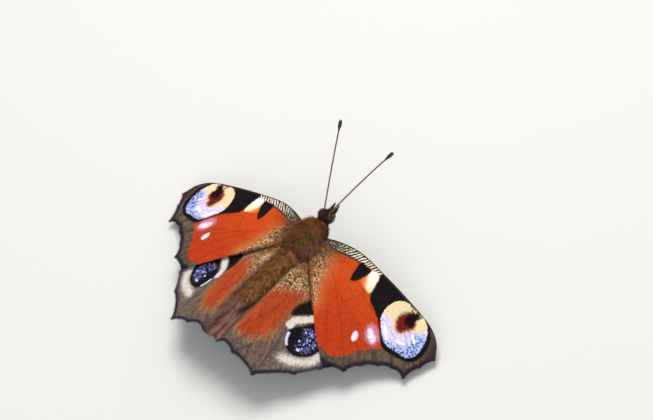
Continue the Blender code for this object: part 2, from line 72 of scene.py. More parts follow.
# The membrane: finer than the solids' plates, which it lies in
MEMBRANE_HALF, RIM_SHARE, RIM_WIDTH = 0.055, 0.4, 0.35
VEIN_RELIEF, VEIN_WIDTH, LOWER_RELIEF = 0.075, 0.11, 0.6
PLEAT, PLEAT_WIDTH, PLEAT_START = 0.13, 1.3, 1.5
OFFSETS = {"forewing": -0.16, "hindwing": 0.16}
GRIDS = {"forewing": (205, 125), "hindwing": (155, 185)}
TOOTH, TOOTH_RUN, TOOTH_STEP = 0.2, 0.5, 0.12
FLOW_SIZE, MAP_ROOM, RIM_MAP = (26.0, 19.0), 0.01, 0.004
INNER_TUCK, INNER_TURN = 0.3, (15.2, 1.8)

# Hairs: how thin and deep they are and their bake patch, then those on the wings. Long and wide
# are the size far out, and what is added to it by the body.
HAIR_SECTION = ((1.0, 0.0), (-0.5, 0.87), (-0.5, -0.87))
HAIR_TAPER, HAIR_DEPTH, HAIR_PATCH, HAIR_SPREAD = 0.75, 0.7, 0.0015, 0.15
LENGTHS_VARY, WIDTHS_VARY = (0.7, 1.25), (0.7, 1.3)
HAIR_TURN = {"forewing": (0.2, 0.35), "hindwing": (0.0, 0.3)}
HAIR_REACH = {"forewing": 0.27, "hindwing": 0.42}
WING_HAIRS, WING_LONG, WING_WIDE, WING_RISES = 2600, (0.35, 1.3), (0.018, 0.028), (0.12, 0.35)
WING_SPREAD, WING_DROOP, WING_FALL, UPPER_SHARE = 0.2, 0.22, 0.1, 0.85
ROOT_CROWDING, LONG_POWER, HAIR_TINT, ROWS_AHEAD = (1.5, 1.0), 1.5, 1.6, 2
EDGE_WIDTHS, EDGE_ROOT, EDGE_JITTER, EDGE_PLACE = (0.02, 0.035), 0.1, 0.02, 0.99
FRINGE_HAIRS, FRINGE_LENGTHS, FRINGE_FALL = 1500, (0.3, 0.55), 0.15
TRIM_HAIRS, TRIM_REACH, TRIM_LONG, TRIM_FALL, TRIM_TINT = 1400, 0.6, (0.35, 1.1), 0.4, 1.4

# Body: the parts' sizes, and how far below the solids' surface the skin lies under the fur
HEAD_CENTRE, HEAD_HALF = np.array([0.0, -2.75, 10.45]), np.array([0.85, 1.35, 1.4])
NECK_RADIUS, NECK_AFT, NECK_REACH, NECK_POWER, NECK_UP = 0.72, -1.7, 0.8, 4, 10.0
ABDOMEN_START, ABDOMEN_TIP, ABDOMEN_HALF_WIDTH, ABDOMEN_ROOT = 5.0, 19.8, 2.05, 3.5
ABDOMEN_UP, ABDOMEN_LIFT, LIFT_POWER, ABDOMEN_FLATNESS = 9.4, 0.75, 1.5, 0.95
THORAX_SQUARENESS, TAPER_POWER, TAPER_ROUND = 2.4, 2.6, 0.55
COAT_DEPTH = {"head": 0.22, "thorax": 0.5, "abdomen": 0.3}
SEGMENT_STEP, SEGMENT_RELIEF, JOINING_POWER = 1.62, 0.07, 8
BODY_GRID, EVEN_SHARE = (260, 96), 0.85
SKIN_ENDS, FUR_ROOT, FUR_TURN, FUR_DROOP, FUR_LENGTHS = 0.02, 0.03, 0.24, 0.2, (0.6, 1.3)
ANYWHERE = (0.0, 99.0)

# Fur: from and to aft, count, length, half widths, rises, lean outwards and forwards, heights
FUR = {
    "thorax": (-1.4, 5.6, 7500, 1.15, (0.03, 0.06), (0.25, 0.6), (0.0, 0.0), ANYWHERE),
    "collar": (-2.0, -0.5, 2200, 0.55, (0.025, 0.045), (0.3, 0.6), (0.1, 0.9), ANYWHERE),
    "shoulder": (-0.6, 5.2, 2300, 1.8, (0.03, 0.055), (0.1, 0.35), (0.9, 0.3), (9.3, 99.0)),
    "waist": (3.0, 6.6, 1900, 1.9, (0.03, 0.055), (0.2, 0.4), (0.35, 0.0), (9.0, 99.0)),
    "flank": (6.0, 17.5, 1900, 1.3, (0.03, 0.055), (0.05, 0.25), (0.5, 0.0), (9.3, 99.0)),
    "abdomen": (5.0, 19.6, 8900, 0.78, (0.028, 0.05), (0.15, 0.4), (0.0, 0.0), ANYWHERE),
    "head": (-4.1, -1.75, 3800, 0.56, (0.018, 0.036), (0.4, 1.0), (0.1, 0.8), ANYWHERE),
    "tegula": (-1.35, 0.4, 1300, 0.8, (0.025, 0.05), (0.4, 0.8), (0.8, 0.9), (10.0, 99.0)),
    "chest": (-1.7, 1.4, 1700, 0.95, (0.025, 0.05), (0.2, 0.5), (0.1, 0.7), (0.0, 9.1)),
    "face": (-4.05, -3.1, 900, 1.0, (0.018, 0.034), (0.1, 0.4), (0.0, 1.9), (9.9, 99.0)),
}
FUR_COLOURS = {
    "thorax": ((60, 32, 16), (194, 112, 52)), "olive": ((44, 36, 24), (152, 126, 84)),
    "violet": ((58, 44, 42), (184, 158, 148)), "abdomen": ((82, 44, 20), (214, 134, 64)),
    "tip": ((112, 84, 84), (204, 174, 172)), "head": ((28, 16, 20), (112, 76, 68)),
    "lower": ((30, 21, 18), (92, 66, 50)),
}

# Head parts and legs. Hairs: count, turn, droop and rings, then ranges of length, half width and rise
HAIRS = {
    "eye": (900, 0.15, 0.2, 2, (0.18, 0.42), (0.014, 0.026), (0.1, 0.3)),
    "palp": (800, 0.2, 0.25, 3, (0.25, 0.6), (0.018, 0.03), (0.2, 0.5)),
    "leg": (1500, 0.15, 0.15, 2, (0.12, 0.3), (0.015, 0.028), (0.2, 0.45)),
    "foreleg": (700, 0.15, 0.15, 2, (0.3, 0.65), (0.015, 0.028), (0.2, 0.45)),
}
EYE, EYE_HALF, EYE_POLE, EYE_RINGS = (0.78, -3.0, 10.55), (0.76, 0.84, 0.96), 0.06, (30, 48)
EYE_HAIR_OUT, EYE_HAIR_PULL, EYE_HAIR_ROOT = 0.9, (0, 0.8, 0.15), 0.02
ANTENNA_ROOT, ANTENNA_TIP, ANTENNA_BOW = (0.5, -3.1, 11.2), (5.94, -15.46, 19.88), 0.35
ANTENNA_STATIONS, ANTENNA_RING, RING_DEPTH, ANTENNA_RADII = 420, 0.4, 0.08, (0.13, 0.33)
ANTENNA_CLUB, CLUB_SWELL, CLUB_END, CLUB_BLUNT, THINNEST = 2.2, 0.55, 0.45, 0.25, 0.03
BULB, BULB_REACH = 0.8, 0.35
PALP_ROOT, PALP_TIP, PALP_SAG, PALP_POINTS = (0.42, -3.3, 9.95), (0.44, -5.75, 10.56), 0.08, 28
PALP_STATIONS, PALP_RADII = (0, 0.15, 0.6, 1), (0.2, 0.28, 0.22, 0.05)
TONGUE_CENTRE, TONGUE_COIL, TONGUE_START, TONGUE_TURNS = (-4.3, 8.6), (0.84, 0.14), 62, 2.25
TONGUE_ROOT, TONGUE_RADII, TONGUE_POINTS = [(0, -3.45, 9.75), (0, -3.7, 9.6)], (0.13, 0.06), 160
TONGUE_RIBS, TONGUE_RIB_TURN = 0.04, 1.6
LEGS = {
    "midleg": [(1.0, 1.4, 7.8), (5.2, -0.4, 7.3), (7.6, -1.6, 2.4), (9.8, -3.2, 0.2)],
    "hindleg": [(1.0, 3.3, 7.8), (4.4, 7.4, 7.1), (5.6, 11.6, 2.6), (6.4, 15.2, 0.2)],
    "foreleg": [(0.85, 0.5, 7.7), (0.8, -0.9, 6.8), (0.7, -1.7, 7.0), (0.6, -2.2, 7.7)],
}
FEMUR_RADIUS, FEMUR_SWELL, TIBIA_RADIUS, TIBIA_SWELL, KNEE_PINCH = 0.19, 0.13, 0.16, 0.06, 0.05
FEMUR_LEAD, FEMUR_ROUND, KNEE_POWER, TOE_ROUND = 0.12, 0.8, 8, 0.6
FOOT_RADIUS, TOE_SWELL, TOES, FORELEG_RADII = 0.13, 0.035, 5, (0.26, 0.22, 0.17, 0.06)
LEG_STEP, KNEE_TURN, TUBE_SIDES, THIN_SIDES, CLAW_SIDES = 0.06, 0.12, 16, 14, 8
CLAW_LENGTH, CLAW_GAP, CLAW_RISE, CLAW_BEND, CLAW_RADII = 0.36, (0.04, 0.2), 0.1, 0.2, (0.05, 0.008)
CLAW_POINTS, CLAW_TAPER, FOOT_END = 10, 0.7, 8

# Stage: each light's place, size, power and colour, and the photo's camera
AIM = np.array([0.0, 0.0, 0.008])
FLOOR_REACH = 1.5
LIGHTS = {
    "key light": ((0.1, -0.15, 0.44), 0.28, 1.8, (1.0, 0.97, 0.92)),
    "fill light": ((-0.25, 0.3, 0.3), 0.3, 0.5, (0.92, 0.96, 1.0)),
}
SKY, SKY_STRENGTH = (0.9, 0.95, 1.0, 1.0), 0.45
CAMERA_PLACE, CAMERA_CLIP = (-0.2111, 0.1591, 0.3840), (0.01, 10.0)
CAMERA_LENS, CAMERA_SENSOR = 148.8, 36.0
CAMERA_TURN = (-0.7464, -0.6530, -0.1286), (0.4816, -0.6633, 0.5728), (-0.4593, 0.3656, 0.8095)

# Forewing edges and veins in plan, as (across, aft)
FORE_TUCK = ((1.3, 0.35), (1.3, 2.6))
FORE_COSTA = [
    (2.5, 0.15), (5.5, -1), (9, -1.62), (13.5, -1.25), (19.2, -0.55), (24.8, 0.4), (27.6, 1.85),
    (29.2, 4.25),
]
FORE_ENDS = {
    "r5": (28.05, 6.9), "m1": (27.15, 10.25), "m2": (24.9, 10.1), "m3": (22.9, 11.45), "cu1": (20.9, 13.4),
    "cu2": (19.5, 16.15), "anal": (16.5, 17.4),
}
FORE_HOLLOWS = (0.1, 0.15, 0.25, 0.12, 0.1, 0.2, 0.05, 0)
FORE_REAR = [(2.2, 3.4), (6.1, 7.9), (11.3, 13.6), (15.5, 17.25)]
FORE_STEMS = (
    [(2.9, 0.9), (8, 0.1), (13.7, 0.9), (22, 1.7)],
    [(2.9, 1.7), (8, 4.7), (12.2, 7.2)],
    [(13.7, 0.9), (13.5, 4), (12.2, 7.2)],
)
FORE_VEINS = (
    ((2.9, 0.9), (13.5, -1.25), 0.5), ((9.2, 0.1), (18, -0.7), 0.1), ((13.7, 0.9), (22.3, -0.05), 0.1),
    ((18.5, 1.2), (25.8, 0.75), 0.15), ((22, 1.7), (29.2, 4.25), 0.4), ((22, 1.7), (28.05, 6.9), 0.7),
    ((13.7, 1.9), (27.15, 10.25), 2), ((13.5, 4), (24.9, 10.1), 0.9), ((12.2, 7.2), (22.9, 11.45), 0.5),
    ((11.2, 6.7), (20.9, 13.4), 0.3), ((8, 4.7), (19.5, 16.15), 0.4), ((2.9, 1.7), (16.5, 17.4), 0.6),
)

# Hindwing edges and veins in plan
HIND_COSTA = [(2.2, 3.9), (5, 3.9), (9, 4.4), (13, 5.9), (16.5, 8), (19, 10.4)]
HIND_ENDS = {
    "rs": (19, 14.2), "m1": (16.4, 18.1), "m2": (14, 21.8), "m3": (9.5, 27), "cu1": (5.3, 26.7),
    "cu2": (1.6, 26.5),
}
HIND_HOLLOWS = (-0.5, -0.05, 0, 0.35, 0.35, 0.3)
HIND_TUCK = ((1.2, 4), (1.2, 5.2))
ANAL_CORNER = (0.012, 25.8)
HIND_STEMS = (
    [(2.5, 4.5), (7, 7), (9.7, 10.6)],
    [(2.5, 5), (5.4, 8.8), (7.4, 13)],
)
HIND_VEINS = (
    ((5.5, 6.1), (19, 10.4), 0.7), ((7.4, 7.4), (19, 14.2), 0.6), ((9.3, 9.9), (16.4, 18.1), 0.3),
    ((9.7, 10.6), (14, 21.8), 0.2), ((7.4, 13), (9.5, 27), 0.4), ((7, 12.1), (5.3, 26.7), 1),
    ((5.4, 8.8), (1.6, 26.5), 1.3), ((2.5, 5), (0.9, 26), 1.6),
)

# Markings in plan: closed smooth outlines, and stripes as half width and lines
FORE_PATCHES = {
    "basal": [
        (0, -2), (3.4, -0.6), (4.9, 1.2), (5.8, 3.5), (6.6, 6), (7.6, 8.6), (8.4, 11), (3, 14), (-3, 6),
    ],
    "triangle": [
        (10, -0.2), (11.3, -0.3), (12.3, -0.2), (12.1, 1.1), (11.5, 2.6), (10.7, 3.4), (10.2, 2.5),
    ],
    "ring": [
        (13.9, -0.9), (14.2, 1.2), (14.65, 2.9), (15.3, 3.95), (17, 4.9), (18.6, 5.9), (20, 7.4),
        (21.5, 8.7), (22.8, 8.7), (24.6, 8.3), (26.2, 7.6), (27.1, 6.3), (27.3, 4.4), (26.8, 2.4),
        (25.6, 1), (24.4, -0.6), (19, -2.5), (14.6, -2.4),
    ],
    "cream": [
        (12.4, -0.3), (13.2, -0.5), (13.9, -0.2), (14.2, 1), (14.5, 2.3), (14.3, 3.1), (13.3, 2.9),
        (12.3, 2.6), (11.9, 1.9), (12.3, 1),
    ],
    "margin": [
        (24, -0.6), (25.2, 1.6), (26.4, 3.2), (26.7, 4.8), (26.2, 6.5), (25.2, 7.6), (23.6, 8.2),
        (22, 8.5), (21.4, 9.2), (20.6, 10.1), (19.6, 11.3), (18.8, 12.7), (18.1, 14), (17, 15.2),
        (15.8, 15.9), (14.2, 15.6), (14, 19), (24, 19), (32, 12), (32, -3), (26, -3),
    ],
    "eyespot": [
        (18.1, 2.9), (18.5, 1.4), (19.2, 0.5), (20.2, 0.05), (21.3, -0.1), (22.6, 0.1), (24.3, 0.5),
        (25.6, 1.7), (26.3, 3.3), (26.5, 5.1), (26.1, 6.6), (25.1, 7.5), (23.8, 7.65), (22.6, 7.95),
        (21.4, 7.9), (20.4, 7.2), (19.4, 6.2), (18.6, 5.3), (18.2, 4.2),
    ],
    "lilac": [
        (18, 4), (19.6, 4.1), (20.6, 4.7), (21.6, 5.2), (22.5, 4.9), (23.3, 3.6), (24.1, 3.1), (25, 2.5),
        (25.8, 1.4), (27.5, 3), (27.5, 7), (24, 9), (20, 8.5), (17.5, 6),
    ],
    "maroon": [
        (20.4, 3), (20.8, 1.7), (21.6, 0.9), (22.6, 0.7), (23.2, 1.6), (23.7, 2.8), (23, 3.8), (22.3, 4.9),
        (21.3, 4.8),
    ],
    "pupil": [
        (21.6, 1.4), (22.1, 0.6), (22.9, 0.2), (23.3, 0.7), (23.1, 1.6), (23.3, 2.7), (22.5, 3.1),
        (21.6, 2.8),
    ],
    "far_cream": [
        (23.3, 0.9), (24.1, 0.7), (24.7, 1.3), (24.8, 2.2), (24.2, 2.7), (23.6, 2.4), (23.3, 1.6),
    ],
    "first_spot": [(18.1, 7.9), (18.6, 7.6), (19.4, 7.9), (20.1, 8.6), (20, 9.3), (19.4, 9.3), (18.6, 8.7)],
    "spot_haze": [
        (17.7, 7.3), (18.4, 6.7), (19.5, 7.1), (20.4, 8.2), (20.3, 9.5), (19.2, 9.7), (18.1, 8.8),
    ],
    "apex": [
        (25.2, 0.2), (26.6, 1.6), (27.6, 3.2), (28, 5), (30, 6.5), (31, 4), (29, 0), (26, -2), (24, -2),
    ],
    "costal_edge": [
        (13.95, -1.7), (14, -0.95), (17, -0.55), (20, -0.1), (24, 0.25), (26, 0.9), (25, -2), (19, -2.6),
        (14.2, -2.6),
    ],
    "eyespot_top": [(20.6, -0.3), (21.5, -0.35), (23, -0.1), (23.2, 0.25), (22, 0.3), (21, 0.2)],
    "blue": [
        (24.4, 3.4), (25.6, 2.6), (26.8, 3.4), (26.9, 6.2), (25.6, 7.8), (23.4, 8.2), (20.8, 8.2),
        (20.2, 7.4), (22.6, 7.1), (24.2, 6.2), (24.6, 4.8),
    ],
    "tiger": [
        (2.5, -0.5), (5.2, -1.2), (9, -2.2), (13.4, -2.2), (13.95, -0.9), (13.7, -0.45), (12, -0.45),
        (9.5, -0.1), (7, 0.35), (5, 0.9), (3.6, 1.1), (2.6, 0.6),
    ],
    "second_spot": [(16.7, 9.9), (17.1, 9.5), (17.5, 9.9), (17.75, 10.8), (17.4, 11.3), (16.9, 10.9)],
}
FORE_STRIPES = {
    "glint": (0.26, [
        [(19.9, 5.7), (20.5, 6.5), (21.3, 7.1)], [(22.7, 6.3), (23.7, 6)], [(24, 3.9), (24.9, 4.4)],
    ]),
    "eyespot_vein": (0.09, [
        [(22.5, 4.2), (23.7, 5), (25.1, 6.3)], [(22.9, 3.4), (24.6, 4.6), (26.2, 5.8)],
    ]),
    "pupil_ray": (0.12, [
        [(22, 1.5), (21.5, 0.35)], [(22.4, 1.2), (22.4, 0.1)], [(22.9, 1.4), (23.5, 0.4)],
    ]),
    "costal_line": (0.16, [[(2.5, 1), (5, 0.95), (7.5, 0.3), (10, -0.15)]]),
}
HIND_PATCHES = {
    "red": [
        (2.3, 12), (3.4, 10), (5.4, 9.6), (6.7, 11), (7, 13.5), (7.1, 15.5), (7.2, 17.6), (7.1, 19.4),
        (6.6, 20.9), (5.7, 22.1), (4.6, 22.9), (3.6, 23), (3, 22), (2.9, 19.5), (2.8, 15.5),
    ],
    "warm": [
        (2.6, 7), (4.5, 6), (6.6, 8), (7.4, 10.4), (7.6, 13), (7.7, 16), (7.8, 19.4), (7.2, 21.3),
        (6, 22.9), (4.6, 23.6), (3.2, 23.7), (2.5, 21.5), (2.3, 17), (2.3, 11.5),
    ],
    "basal": [
        (0, 3), (4, 2), (8.6, 6.5), (7.6, 8.9), (6.4, 10.3), (5.2, 11.4), (4, 12.2), (3, 13.6), (0, 14),
    ],
    "fold": [(-1, 3), (1.5, 6), (2.2, 10), (2.5, 15), (2.4, 20), (1.9, 24), (1.5, 28), (-1, 28)],
    "costal_patch": [
        (8, 10.1), (10.4, 10.9), (9.6, 12.2), (8.7, 13.2), (8.1, 14.3), (7.5, 14.8), (7.1, 13.2),
        (7.4, 11.5),
    ],
    "disc": [
        (11, 13.1), (13.2, 13.3), (14.4, 14.9), (14.4, 16.4), (13.8, 17.9), (12.7, 19.1), (11.4, 19.6),
        (10.1, 19.3), (9.2, 18.3), (8.9, 17), (9.2, 15.8), (10, 14.4),
    ],
    "crescent": [
        (10.6, 14.5), (12.2, 14.1), (13.4, 15.1), (13.75, 16.5), (13.2, 17.7), (12.3, 18.5), (11.3, 18.7),
        (11.2, 18), (11.6, 17.4), (11.4, 16.4), (10.6, 15.6),
    ],
    "dots": [(11.5, 18.3), (11.85, 18.1), (12.2, 18.2), (12, 18.5), (11.65, 18.55)],
    "middle_dot": [(10.85, 17), (11.05, 16.8), (11.25, 17), (11.1, 17.25)],
    "costal": [
        (3, 3), (9, 4.5), (11, 7.5), (13.5, 10.5), (15.5, 13), (17, 14.6), (21, 14), (20, 9), (13, 4),
        (6, 1),
    ],
    "lower_ring": [
        (14.5, 15.6), (15.3, 16.3), (15.4, 17.5), (14.9, 18.8), (13.9, 20), (12.6, 21), (11.2, 21.7),
        (10.3, 21.6), (10.6, 20.6), (11.8, 19.9), (13.1, 19.2), (14, 17.9), (14.3, 16.6),
    ],
}
HIND_STRIPES = {
    "upper_ring": (0.55, [[(11.4, 11.6), (10.4, 12.4), (9.3, 13.7), (8.55, 15), (8.45, 16.3)]]),
    "lunule": (0.2, [[(9.1, 17.3), (9.45, 18.3), (9.95, 18.95)]]),
}


def ease(t):
    """0 below 0, 1 above 1, and the smooth step 3 t^2 - 2 t^3 between."""
    t = np.clip(t, 0, 1)
    return t**2 * (3 - 2 * t)


def unit(vectors):
    """Each vector over its own length."""
    return vectors / np.maximum(np.linalg.norm(vectors, axis=-1, keepdims=True), TINY)


def world(points):
    """Millimetres (across, aft, up) to the frame's metres."""
    return (np.asarray(points, float) + (0.0, ROOT_Y, 0.0)) * MM


def spline(points, step, closed=False):
    """A Catmull-Rom curve: the cubic from b to c leaves b along c - a and reaches c along d - b, with
    a point about every step."""
    points = np.asarray(points, float)
    if closed:
        padded = np.vstack([points[-1], points, points[:2]])
    else:
        padded = np.vstack([2 * points[0] - points[1], points, 2 * points[-1] - points[-2]])
    found = []
    for a, b, c, d in zip(padded, padded[1:], padded[2:], padded[3:]):
        count = max(1, round(float(np.linalg.norm(c - b)) / step))
        t = (np.arange(count) / count)[:, None]
        square, cube = 2 * a - 5 * b + 4 * c - d, 3 * b - a - 3 * c + d
        found.append(0.5 * (2 * b + (c - a) * t + square * t**2 + cube * t**3))
    return np.vstack([*found, padded[-2]])


def bowed(start, end, bow, step):
    """A parabola from start to end that stands off the straight line by bow at its middle."""
    start, end = np.asarray(start, float), np.asarray(end, float)
    run = end - start
    length = float(np.linalg.norm(run))
    across = np.array([run[1], -run[0]]) / length
    t = np.linspace(0, 1, max(2, round(length / step) + 1))[:, None]
    return start + run * t + across * (4 * bow * t * (1 - t))


def arched(root, tip, rise, t):
    """Points at shares t of the straight line from root to tip, raised by the parabola 4 rise t (1 - t)."""
    root, tip = np.array(root), np.array(tip)
    line = root + (tip - root) * t[:, None]
    line[:, 2] += 4 * rise * t * (1 - t)
    return line


def run_along(line):
    """How far along a line each of its points lies."""
    return np.concatenate([[0.0], np.cumsum(np.linalg.norm(np.diff(line, axis=0), axis=1))])


def spread(line, count):
    """This many points, evenly spaced along a line."""
    along = run_along(line)
    wanted = np.linspace(0, along[-1], count)
    return np.stack([np.interp(wanted, along, column) for column in line.T], -1)


def distance_to_lines(points, lines):
    """Each point's distance to the nearest stretch of any of the lines, worked out block by block."""
    starts = np.vstack([line[:-1] for line in lines])
    runs = np.vstack([np.diff(line, axis=0) for line in lines])
    lengths = np.maximum((runs**2).sum(1), TINY)
    found = []
    for block in np.array_split(points, max(1, len(points) // BLOCK)):
        offset = block[:, None] - starts[None]
        t = np.clip((offset * runs).sum(2) / lengths, 0, 1)
        found.append(np.sqrt(((offset - t[..., None] * runs) ** 2).sum(2).min(1)))
    return np.concatenate(found)


def inside(points, outline):
    """Whether each point lies in the outline, by counting the edges to its right."""
    x, y = points[:, :1], points[:, 1:]
    a, b = outline, np.roll(outline, -1, 0)
    spans = (a[:, 1] > y) != (b[:, 1] > y)
    rise = np.where(b[:, 1] == a[:, 1], 1.0, b[:, 1] - a[:, 1])
    return (spans & (x < a[:, 0] + (y - a[:, 1]) * (b[:, 0] - a[:, 0]) / rise)).sum(1) % 2 == 1


def depth_in(points, corners):
    """How deep each point lies in a closed smooth outline, and less than nothing outside it."""
    line = spline(corners, CURVE_STEP, closed=True)
    depth = np.full(len(points), -FAR_OFF)
    near = ((points > line.min(0) - FAR_OFF) & (points < line.max(0) + FAR_OFF)).all(1)
    if near.any():
        reach = distance_to_lines(points[near], [line])
        depth[near] = np.where(inside(points[near], line), reach, -np.minimum(reach, FAR_OFF))
    return depth


def depth_along(points, half_width, lines):
    """How deep each point lies in stripes of this half width along the lines."""
    away = distance_to_lines(points, [spline(line, CURVE_STEP) for line in lines])
    return half_width - np.minimum(away, FAR_OFF)


def forewing_up(across, aft):
    """Height of the forewing's middle surface, which slopes and curls down outwards and to the rear."""
    out = np.maximum(across - SLOPE_START, 0)
    return ROOT_HEIGHT - WING_SLOPE * out - WING_CURL * out**2 - WING_TWIST * out * aft


def hindwing_up(across, aft):
    """The same surface lower, rising behind the forewing's rear margin to a crest by the body."""
    rear = np.interp(across, *np.transpose(FORE_REAR))
    lift = HINDWING_LIFT * np.maximum(LIFT_END - across, 0) * ease((aft - rear) / LIFT_RUN)
    fold = ease((across - FOLD_FLOOR) / (FOLD_CREST - FOLD_FLOOR))
    return forewing_up(across, aft) - HINDWING_DROP + lift * fold


def swept(points, degrees):
    """Plan points turned forwards about the hindwing's root."""
    angle = math.radians(-degrees)
    turn = np.array([[math.cos(angle), -math.sin(angle)], [math.sin(angle), math.cos(angle)]])
    return (np.asarray(points, float) - HIND_ROOT) @ turn.T + HIND_ROOT


def hollowed_edge(ends, hollows):
    """The outer margin: from each vein's end to the next, drawn inwards between them by its hollow and a
    small notch on each side of the vein, which leaves a short tooth there."""
    arcs = []
    for a, b, hollow in zip(ends, ends[1:], hollows):
        arc = bowed(a, b, -hollow, TOOTH_STEP)
        run = np.subtract(b, a)
        length = float(np.linalg.norm(run))
        inwards = np.array([-run[1], run[0]]) / length
        along = np.linspace(0, length, len(arc))
        notch = TOOTH * ease(np.minimum(along, length - along) / TOOTH_RUN)
        arcs.append((arc + inwards * notch[:, None])[:-1])
    return np.vstack([*arcs, ends[-1]])


def vein_lines(stems, veins):
    """The stems, then each vein from the stem point nearest to its start out to the margin."""
    lines = [spline(stem, CURVE_STEP) for stem in stems]
    for start, end, bow in veins:
        near = np.vstack(lines)
        root = near[np.linalg.norm(near - start, axis=1).argmin()]
        lines.append(bowed(root, end, bow, CURVE_STEP))
    return lines


# Body
THORAX_BOX = [np.array(corner) / MM - (0.0, ROOT_Y, 0.0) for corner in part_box("thorax")]
THORAX, THORAX_HALF = sum(THORAX_BOX) / 2, (THORAX_BOX[1] - THORAX_BOX[0]) / 2


def body_girth(aft):
    """Half width, half height and middle height of the skin. The head is an ellipse and the thorax a
    squarer one, the abdomen tapers in rings, and each part's share of a station goes by its girth there
    to the eighth power, which joins the parts in smooth necks."""
    t = np.abs((aft - HEAD_CENTRE[1]) / HEAD_HALF[1])
    head = np.sqrt(np.maximum(1 - t**2, 0))
    t = np.abs((aft - THORAX[1]) / THORAX_HALF[1])
    thorax = np.maximum(1 - t**THORAX_SQUARENESS, 0) ** (1 / THORAX_SQUARENESS)
    neck = NECK_RADIUS * np.exp(-(((aft - NECK_AFT) / NECK_REACH) ** NECK_POWER))
    u = np.clip((aft - ABDOMEN_ROOT) / (ABDOMEN_TIP - ABDOMEN_ROOT), 0, 1)
    segment = SEGMENT_RELIEF * np.cos(2 * math.pi * (aft - ABDOMEN_START) / SEGMENT_STEP)
    abdomen = (1 - u**TAPER_POWER) ** TAPER_ROUND * (aft > ABDOMEN_ROOT)
    abdomen = abdomen * (ABDOMEN_HALF_WIDTH - COAT_DEPTH["abdomen"] + segment)
    head_half, thorax_half = HEAD_HALF - COAT_DEPTH["head"], THORAX_HALF - COAT_DEPTH["thorax"]
    widths = np.stack([head * head_half[0], neck, thorax * thorax_half[0], abdomen])
    heights = np.stack([head * head_half[2], neck, thorax * thorax_half[2], abdomen * ABDOMEN_FLATNESS])
    middles = (HEAD_CENTRE[2], NECK_UP, THORAX[2], ABDOMEN_UP + ABDOMEN_LIFT * u**LIFT_POWER)
    weight = widths**JOINING_POWER
    share = weight / np.maximum(weight.sum(0), TINY)
    width, height = ((part**JOINING_POWER).sum(0) ** (1 / JOINING_POWER) for part in (widths, heights))
    return width, height, sum(part * up for part, up in zip(share, middles))


def body_grid():
    """Rings of points from the face to the tip of the abdomen, closer at both ends. Angle 0 is the top
    of each ring."""
    turn = np.linspace(0, math.pi, BODY_GRID[0])
    front, tip = HEAD_CENTRE[1] - HEAD_HALF[1] + COAT_DEPTH["head"], ABDOMEN_TIP - COAT_DEPTH["abdomen"]
    even, eased = np.linspace(front, tip, BODY_GRID[0]), front + (tip - front) * (1 - np.cos(turn)) / 2
    aft = EVEN_SHARE * even + (1 - EVEN_SHARE) * eased
    width, height, middle = (value[:, None] for value in body_girth(aft))
    angle = np.linspace(-math.pi, math.pi, BODY_GRID[1] + 1)
    lengthwise = np.repeat(aft[:, None], len(angle), 1)
    return np.stack([width * np.sin(angle), lengthwise, middle + height * np.cos(angle)], -1)


# Meshes
def new_piece(name, points, faces, look, values=None, uv=None):
    """A piece from points in millimetres and blocks of faces, with values for each point and a bake map."""
    mesh = bpy.data.meshes.new(name)
    corners = np.concatenate([block.ravel() for block in faces]).astype(np.int32)
    sizes = np.concatenate([np.full(len(block), block.shape[1]) for block in faces])
    mesh.vertices.add(len(points))
    mesh.vertices.foreach_set("co", world(points).astype(np.float32).ravel())
    mesh.loops.add(len(corners))
    mesh.loops.foreach_set("vertex_index", corners)
    mesh.polygons.add(len(sizes))
    mesh.polygons.foreach_set("loop_start", (np.cumsum(sizes) - sizes).astype(np.int32))
    mesh.update(calc_edges=True)
    mesh.polygons.foreach_set("use_smooth", np.full(len(sizes), True))
    for key, value in (values or {}).items():
        kind, field = ("FLOAT", "value") if value.ndim == 1 else ("FLOAT_VECTOR", "vector")
        attribute = mesh.attributes.new(key, kind, "POINT")
        attribute.data.foreach_set(field, value.astype(np.float32).ravel())
    if uv is not None:
        layer = mesh.uv_layers.new(name="OFBake")
        at_corners = uv[corners] if len(uv) == len(points) else uv
        layer.data.foreach_set("uv", at_corners.astype(np.float32).ravel())
    mesh.materials.append(FINISHES[look])
    piece = bpy.data.objects.new(name, mesh)
    bpy.context.scene.collection.objects.link(piece)
    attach(piece, "root")
    return piece


def ring_tube(rings):
    """Points and faces of a tube on rings of points, shaped (rings, around, 3), with a fan on each end."""
    count, around = rings.shape[:2]
    index = np.arange(count * around).reshape(count, around)
    after = np.roll(index, -1, 1)
    quads = np.stack([index[:-1], after[:-1], after[1:], index[1:]], -1).reshape(-1, 4)
    points = np.vstack([rings.reshape(-1, 3), rings[0].mean(0), rings[-1].mean(0)])
    first, last = (np.full(around, count * around + end) for end in (0, 1))
    fans = [np.stack([first, after[0], index[0]], 1), np.stack([last, index[-1], after[-1]], 1)]
    return points, [quads, np.vstack(fans)]


def tube_rings(line, radii, around):
    """Rings of points round a line. Each lies on two unit vectors square to the line: the first is the
    direction that the whole line turns towards least, less its part along the line there, and the
    second is square to both."""
    run = unit(np.gradient(line, axis=0))
    least = np.linalg.svd(run)[2][-1]
    first = unit(least - run * (run @ least)[:, None])
    second = np.cross(run, first)
    angle = np.linspace(0, 2 * math.pi, around, endpoint=False)[:, None]
    turned = first[:, None] * np.cos(angle) + second[:, None] * np.sin(angle)
    return line[:, None] + np.asarray(radii)[:, None, None] * turned


